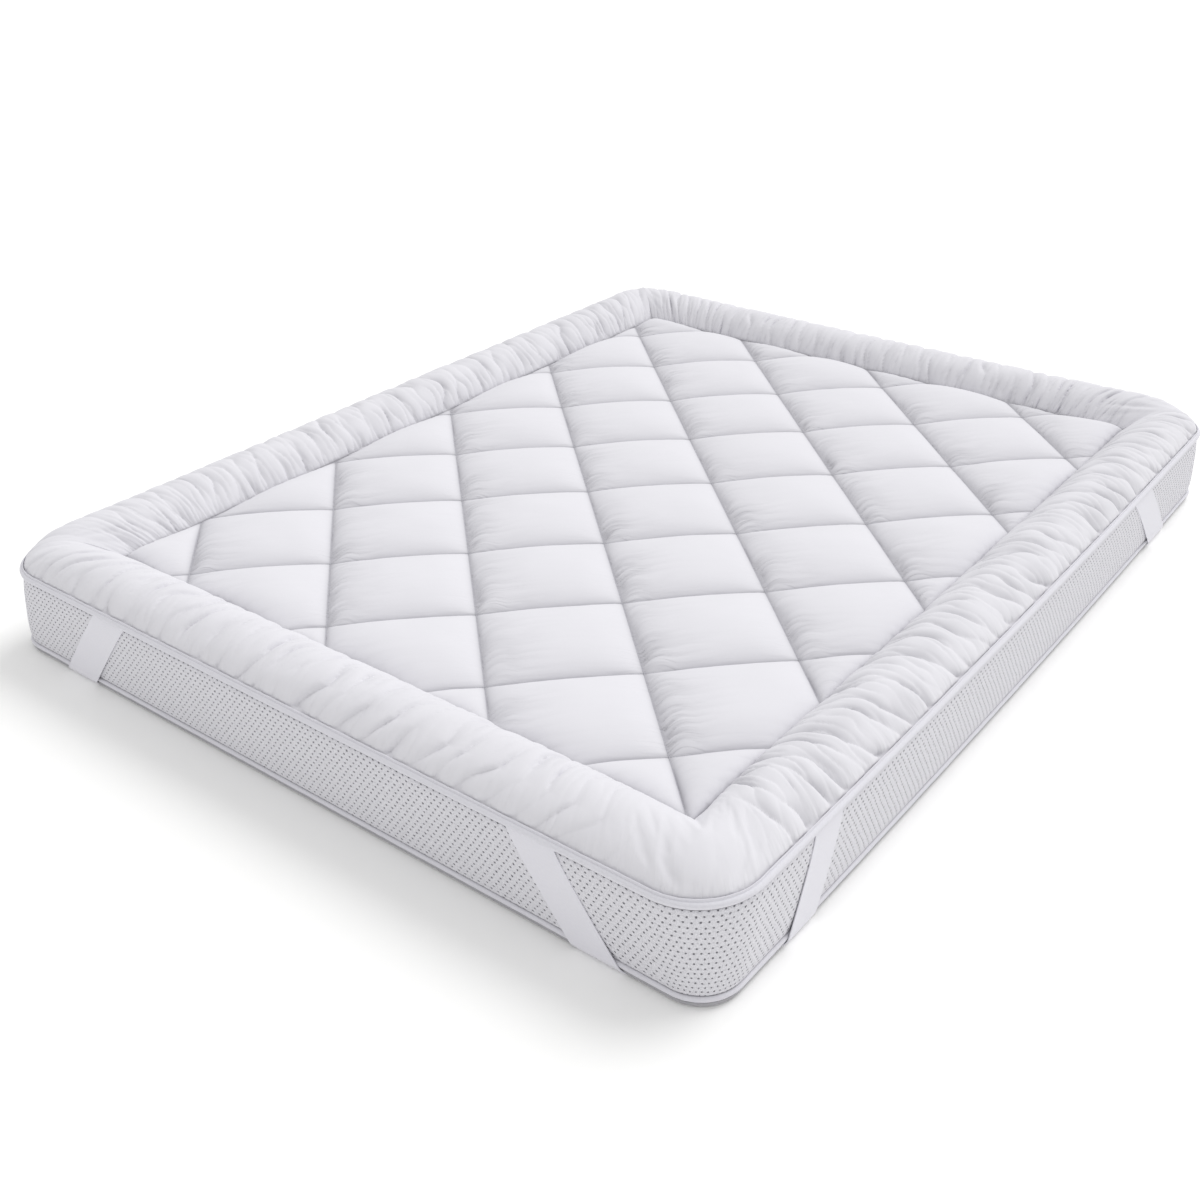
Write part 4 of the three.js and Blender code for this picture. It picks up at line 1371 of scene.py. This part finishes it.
# %% [markdown]
# After that come the wrinkles: creases right across the border, finer ones between them, and short
# gathers along both seams. A crease has one steep flank and one soft one, for the cloth was pushed
# along as it was sewn. It leans over on the filling's inner half and again near the foot. The
# creases are counted along the border, as the quilting lines were, and lie at the whole counts.

# %% Creases
CREASE_WANDER = 0.5                    # pitches by which a crease strays
CREASES_ALIKE = 0.8                    # the next crease strays in nearly the same way
PATCH_CREASES = 1.3                    # creases of one strength, side by side
CREASE_RUN = 0.09                      # it keeps its course over this much of its length
CREASE_PATCH = 0.07                    # and its strength over this much
CREASE_LEAST, CREASE_CHANCE, CREASE_MOST = 0.65, 0.9, 1.2
SOFT_FLANK, STEEP_FLANK = 0.28, 0.08   # how far its flanks reach, in pitches


def creases(count, over, seed):
    """Depth and shade of irregular creases at whole counts, steep before each and soft after."""
    wandering = count + CREASE_WANDER * noise(count * CREASES_ALIKE, over / CREASE_RUN, seed)
    past = wandering - np.floor(wandering)
    chance = CREASE_CHANCE * noise(count / PATCH_CREASES, over / CREASE_PATCH, seed + 1)
    strength = np.clip(CREASE_LEAST + chance, 0, CREASE_MOST)
    depth = strength * (np.exp(-past / SOFT_FLANK) + np.exp((past - 1) / STEEP_FLANK))
    return depth, strength * np.exp(-past / SOFT_FLANK)


FOLD_LEAN = 0.72                       # share of the way from the panel on which a crease leans
FOOT_LEAN_REACH = 0.060                # and how far up from the foot it leans again
SHORT_LEAN = 0.3                       # the short creases lean less
BEYOND_ENDS = 0.2                      # the counting starts and ends this far past the border
COUNT_SAMPLES = 1000


def crease_counts(run, from_foot, whole, folds):
    """How many long and how many short creases lie before each point; their depth and shade."""
    knots, pitches, *rest = np.array(folds).T
    lean, foot_lean, depth, shade = (np.interp(run, knots, values) for values in rest)
    samples = np.linspace(-BEYOND_ENDS, run.max() + BEYOND_ENDS, COUNT_SAMPLES)
    steps = np.diff(samples) / np.interp(samples[1:], knots, pitches)
    counted = np.concatenate([[0], np.cumsum(steps)])
    leaned = np.sin(math.pi / 2 * np.clip((whole - from_foot) / (FOLD_LEAN * whole), 0, 1))
    at_foot = np.clip(1 - from_foot / FOOT_LEAN_REACH, 0, 1)
    long_run = run - lean * (leaned - 0.5) - foot_lean * at_foot
    short_run = run - SHORT_LEAN * lean * leaned
    long_count, short_count = (np.interp(at, samples, counted) for at in (long_run, short_run))
    return long_count, short_count, depth, shade


print("a crease reaches", STEEP_FLANK, "and", SOFT_FLANK, "pitches to its two sides")

# %% Border wrinkles
SETTLE, SETTLED_LEAST = 0.10, 0.25     # creases die out towards a mitre, but not altogether
ROUND_CORNER = 0.085                   # half the run of a corner with no mitre
FOOT_BLEND, PANEL_BLEND = 0.006, 0.004  # nothing is pressed into the stitches themselves
MORE_CREASES = 2.3                     # short creases to a long one
SHORTER = 1.6                          # and how much sooner they change along their length
INNER_REACH, INNER_LEAST = 0.09, 0.3   # short creases are strongest beside the panel
CREASE_LIFT = 0.40                     # the cloth between creases rises
SHORT_DEPTH = 0.45
FOOT_GATHER, SEAM_GATHER = 0.0018, 0.0012
GATHER_COURSE, GATHER_WIDTH = 0.05, 0.25
PUCKER_REACH = 0.02
FOOT_PUCKER, SEAM_PUCKER = 0.6, 0.5
# How much shade is painted into the colour in the creases and along the two seams.
LONG_SHADE, SHORT_SHADE = 0.30, 0.16
SEAM_SHADE, FOOT_SHADE, SEAM_SHADE_REACH = 0.8, 0.35, 0.003


def gathers(run, distance, spacing, reach, seed):
    """Short valleys that stand on a seam."""
    lines = valleys(run / spacing, distance / GATHER_COURSE, seed, GATHER_WIDTH)
    return lines * fade(distance, reach)


def press_folds(piece, folds, whole, corner_run, steep_side, seed):
    """Presses the creases and gathers into a border."""
    run, over = cloth_places(piece).T
    from_foot = over - FOOT_RUN
    from_panel = whole - from_foot
    on_top = np.clip(from_foot / FOOT_BLEND, 0, 1) * np.clip(from_panel / PANEL_BLEND, 0, 1)
    long_count, short_count, depth, shade = crease_counts(run, from_foot, whole, folds)
    long_folds, long_shade = creases(steep_side * long_count, from_foot, seed)
    short_folds, short_shade = creases(
        MORE_CREASES * (steep_side * short_count), SHORTER * from_foot, seed + 2)
    inner_part = INNER_LEAST + fade(from_panel, INNER_REACH)

    off_corner = 1 - np.exp(-(((run - corner_run) / ROUND_CORNER) ** 2))
    foot_gathers = gathers(run, from_foot, spacing=0.014, reach=0.016, seed=seed + 4)
    seam_gathers = gathers(run, from_panel, spacing=0.015, reach=0.014, seed=seed + 5)
    ends = np.minimum(run, run.max() - run)
    settled = on_top * np.clip(ends / SETTLE, SETTLED_LEAST, 1) * depth
    depths = settled * (CREASE_LIFT - long_folds - SHORT_DEPTH * short_folds * inner_part)
    depths -= on_top * (FOOT_GATHER * foot_gathers + SEAM_GATHER * off_corner * seam_gathers)

    nearness = on_top * np.clip(FOOT_PUCKER * fade(from_foot, PUCKER_REACH)
                                + SEAM_PUCKER * off_corner * fade(from_panel, PUCKER_REACH), 0, 1)
    # Painted shade: darker in the creases and along the seams with the panel and at the foot.
    crease_shade = LONG_SHADE * long_shade + SHORT_SHADE * short_shade * inner_part
    painted_shade = (shade * on_top * crease_shade + SEAM_SHADE * fade(from_panel, SEAM_SHADE_REACH)
              + FOOT_SHADE * fade(from_foot, SEAM_SHADE_REACH))
    press(piece, depths, nearness, run, painted_shade)


print("to each long crease there are", MORE_CREASES, "short ones")

# %% Border
# Along each border: distance from its start, and there the creases' pitch, their lean on the inner
# half and at the foot, their depth and the strength of their painted shade.
BORDERS = {
    "border_near": {"sides": ("front", "right"), "seed": 31, "steep_side": 1, "folds": [
        (0.10, 0.050, 0.000, -0.005, 0.0075, 0.4), (0.40, 0.052, 0.006, -0.010, 0.0085, 0.5),
        (0.80, 0.052, -0.030, -0.030, 0.0085, 0.5), (1.30, 0.050, -0.050, -0.045, 0.0070, 0.5),
        (1.44, 0.050, -0.040, -0.020, 0.0006, 0.0), (1.60, 0.052, 0.030, 0.010, 0.0006, 0.1),
        (1.69, 0.050, 0.066, 0.030, 0.0105, 1.5), (2.60, 0.052, 0.066, 0.030, 0.0105, 1.5),
        (3.46, 0.052, 0.060, 0.030, 0.0100, 1.5)]},
    "border_far_back": {"sides": ("back",), "seed": 51, "steep_side": -1, "folds": [
        (0.00, 0.040, 0.020, 0.000, 0.0075, 0.8), (1.60, 0.040, 0.020, 0.000, 0.0075, 0.8)]},
    "border_far_left": {"sides": ("left",), "seed": 71, "steep_side": -1, "folds": [
        (0.00, 0.060, -0.030, 0.000, 0.0085, 1.4), (1.10, 0.056, -0.028, 0.000, 0.0085, 1.4),
        (1.50, 0.042, -0.024, 0.000, 0.0060, 1.2), (1.95, 0.038, -0.020, 0.000, 0.0056, 0.9)]},
}


def make_border(name, sides, seed, steep_side, folds):
    """Builds, stuffs and wrinkles one length of the border."""
    piece, cut, sewn, row, whole, corner_run = border_tube(name, sides)
    stuff(piece, cut, sewn, pressure=6, stiffness=12, bending=0.4, most=0.008)
    first, second = edges_of(piece)
    seam_row = UNDER_ROWS + ARCH_STEPS
    corner_rows = (0, 1, UNDER_ROWS, seam_row, seam_row + 1, row.max())
    smooth_once(piece, (row[first] == row[second]) & np.isin(row[first], corner_rows))
    press_folds(piece, folds, whole, corner_run, steep_side, seed)
    places = points_of(piece)
    put(piece, np.column_stack([bowed(places[:, :2]), places[:, 2]]))
    edit(piece, merge, close_holes, face_out)
    finish_piece(piece, percale, sharp_above=75)
    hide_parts(*("border_" + side for side in sides))


for name, border in BORDERS.items():
    make_border(name, **border)
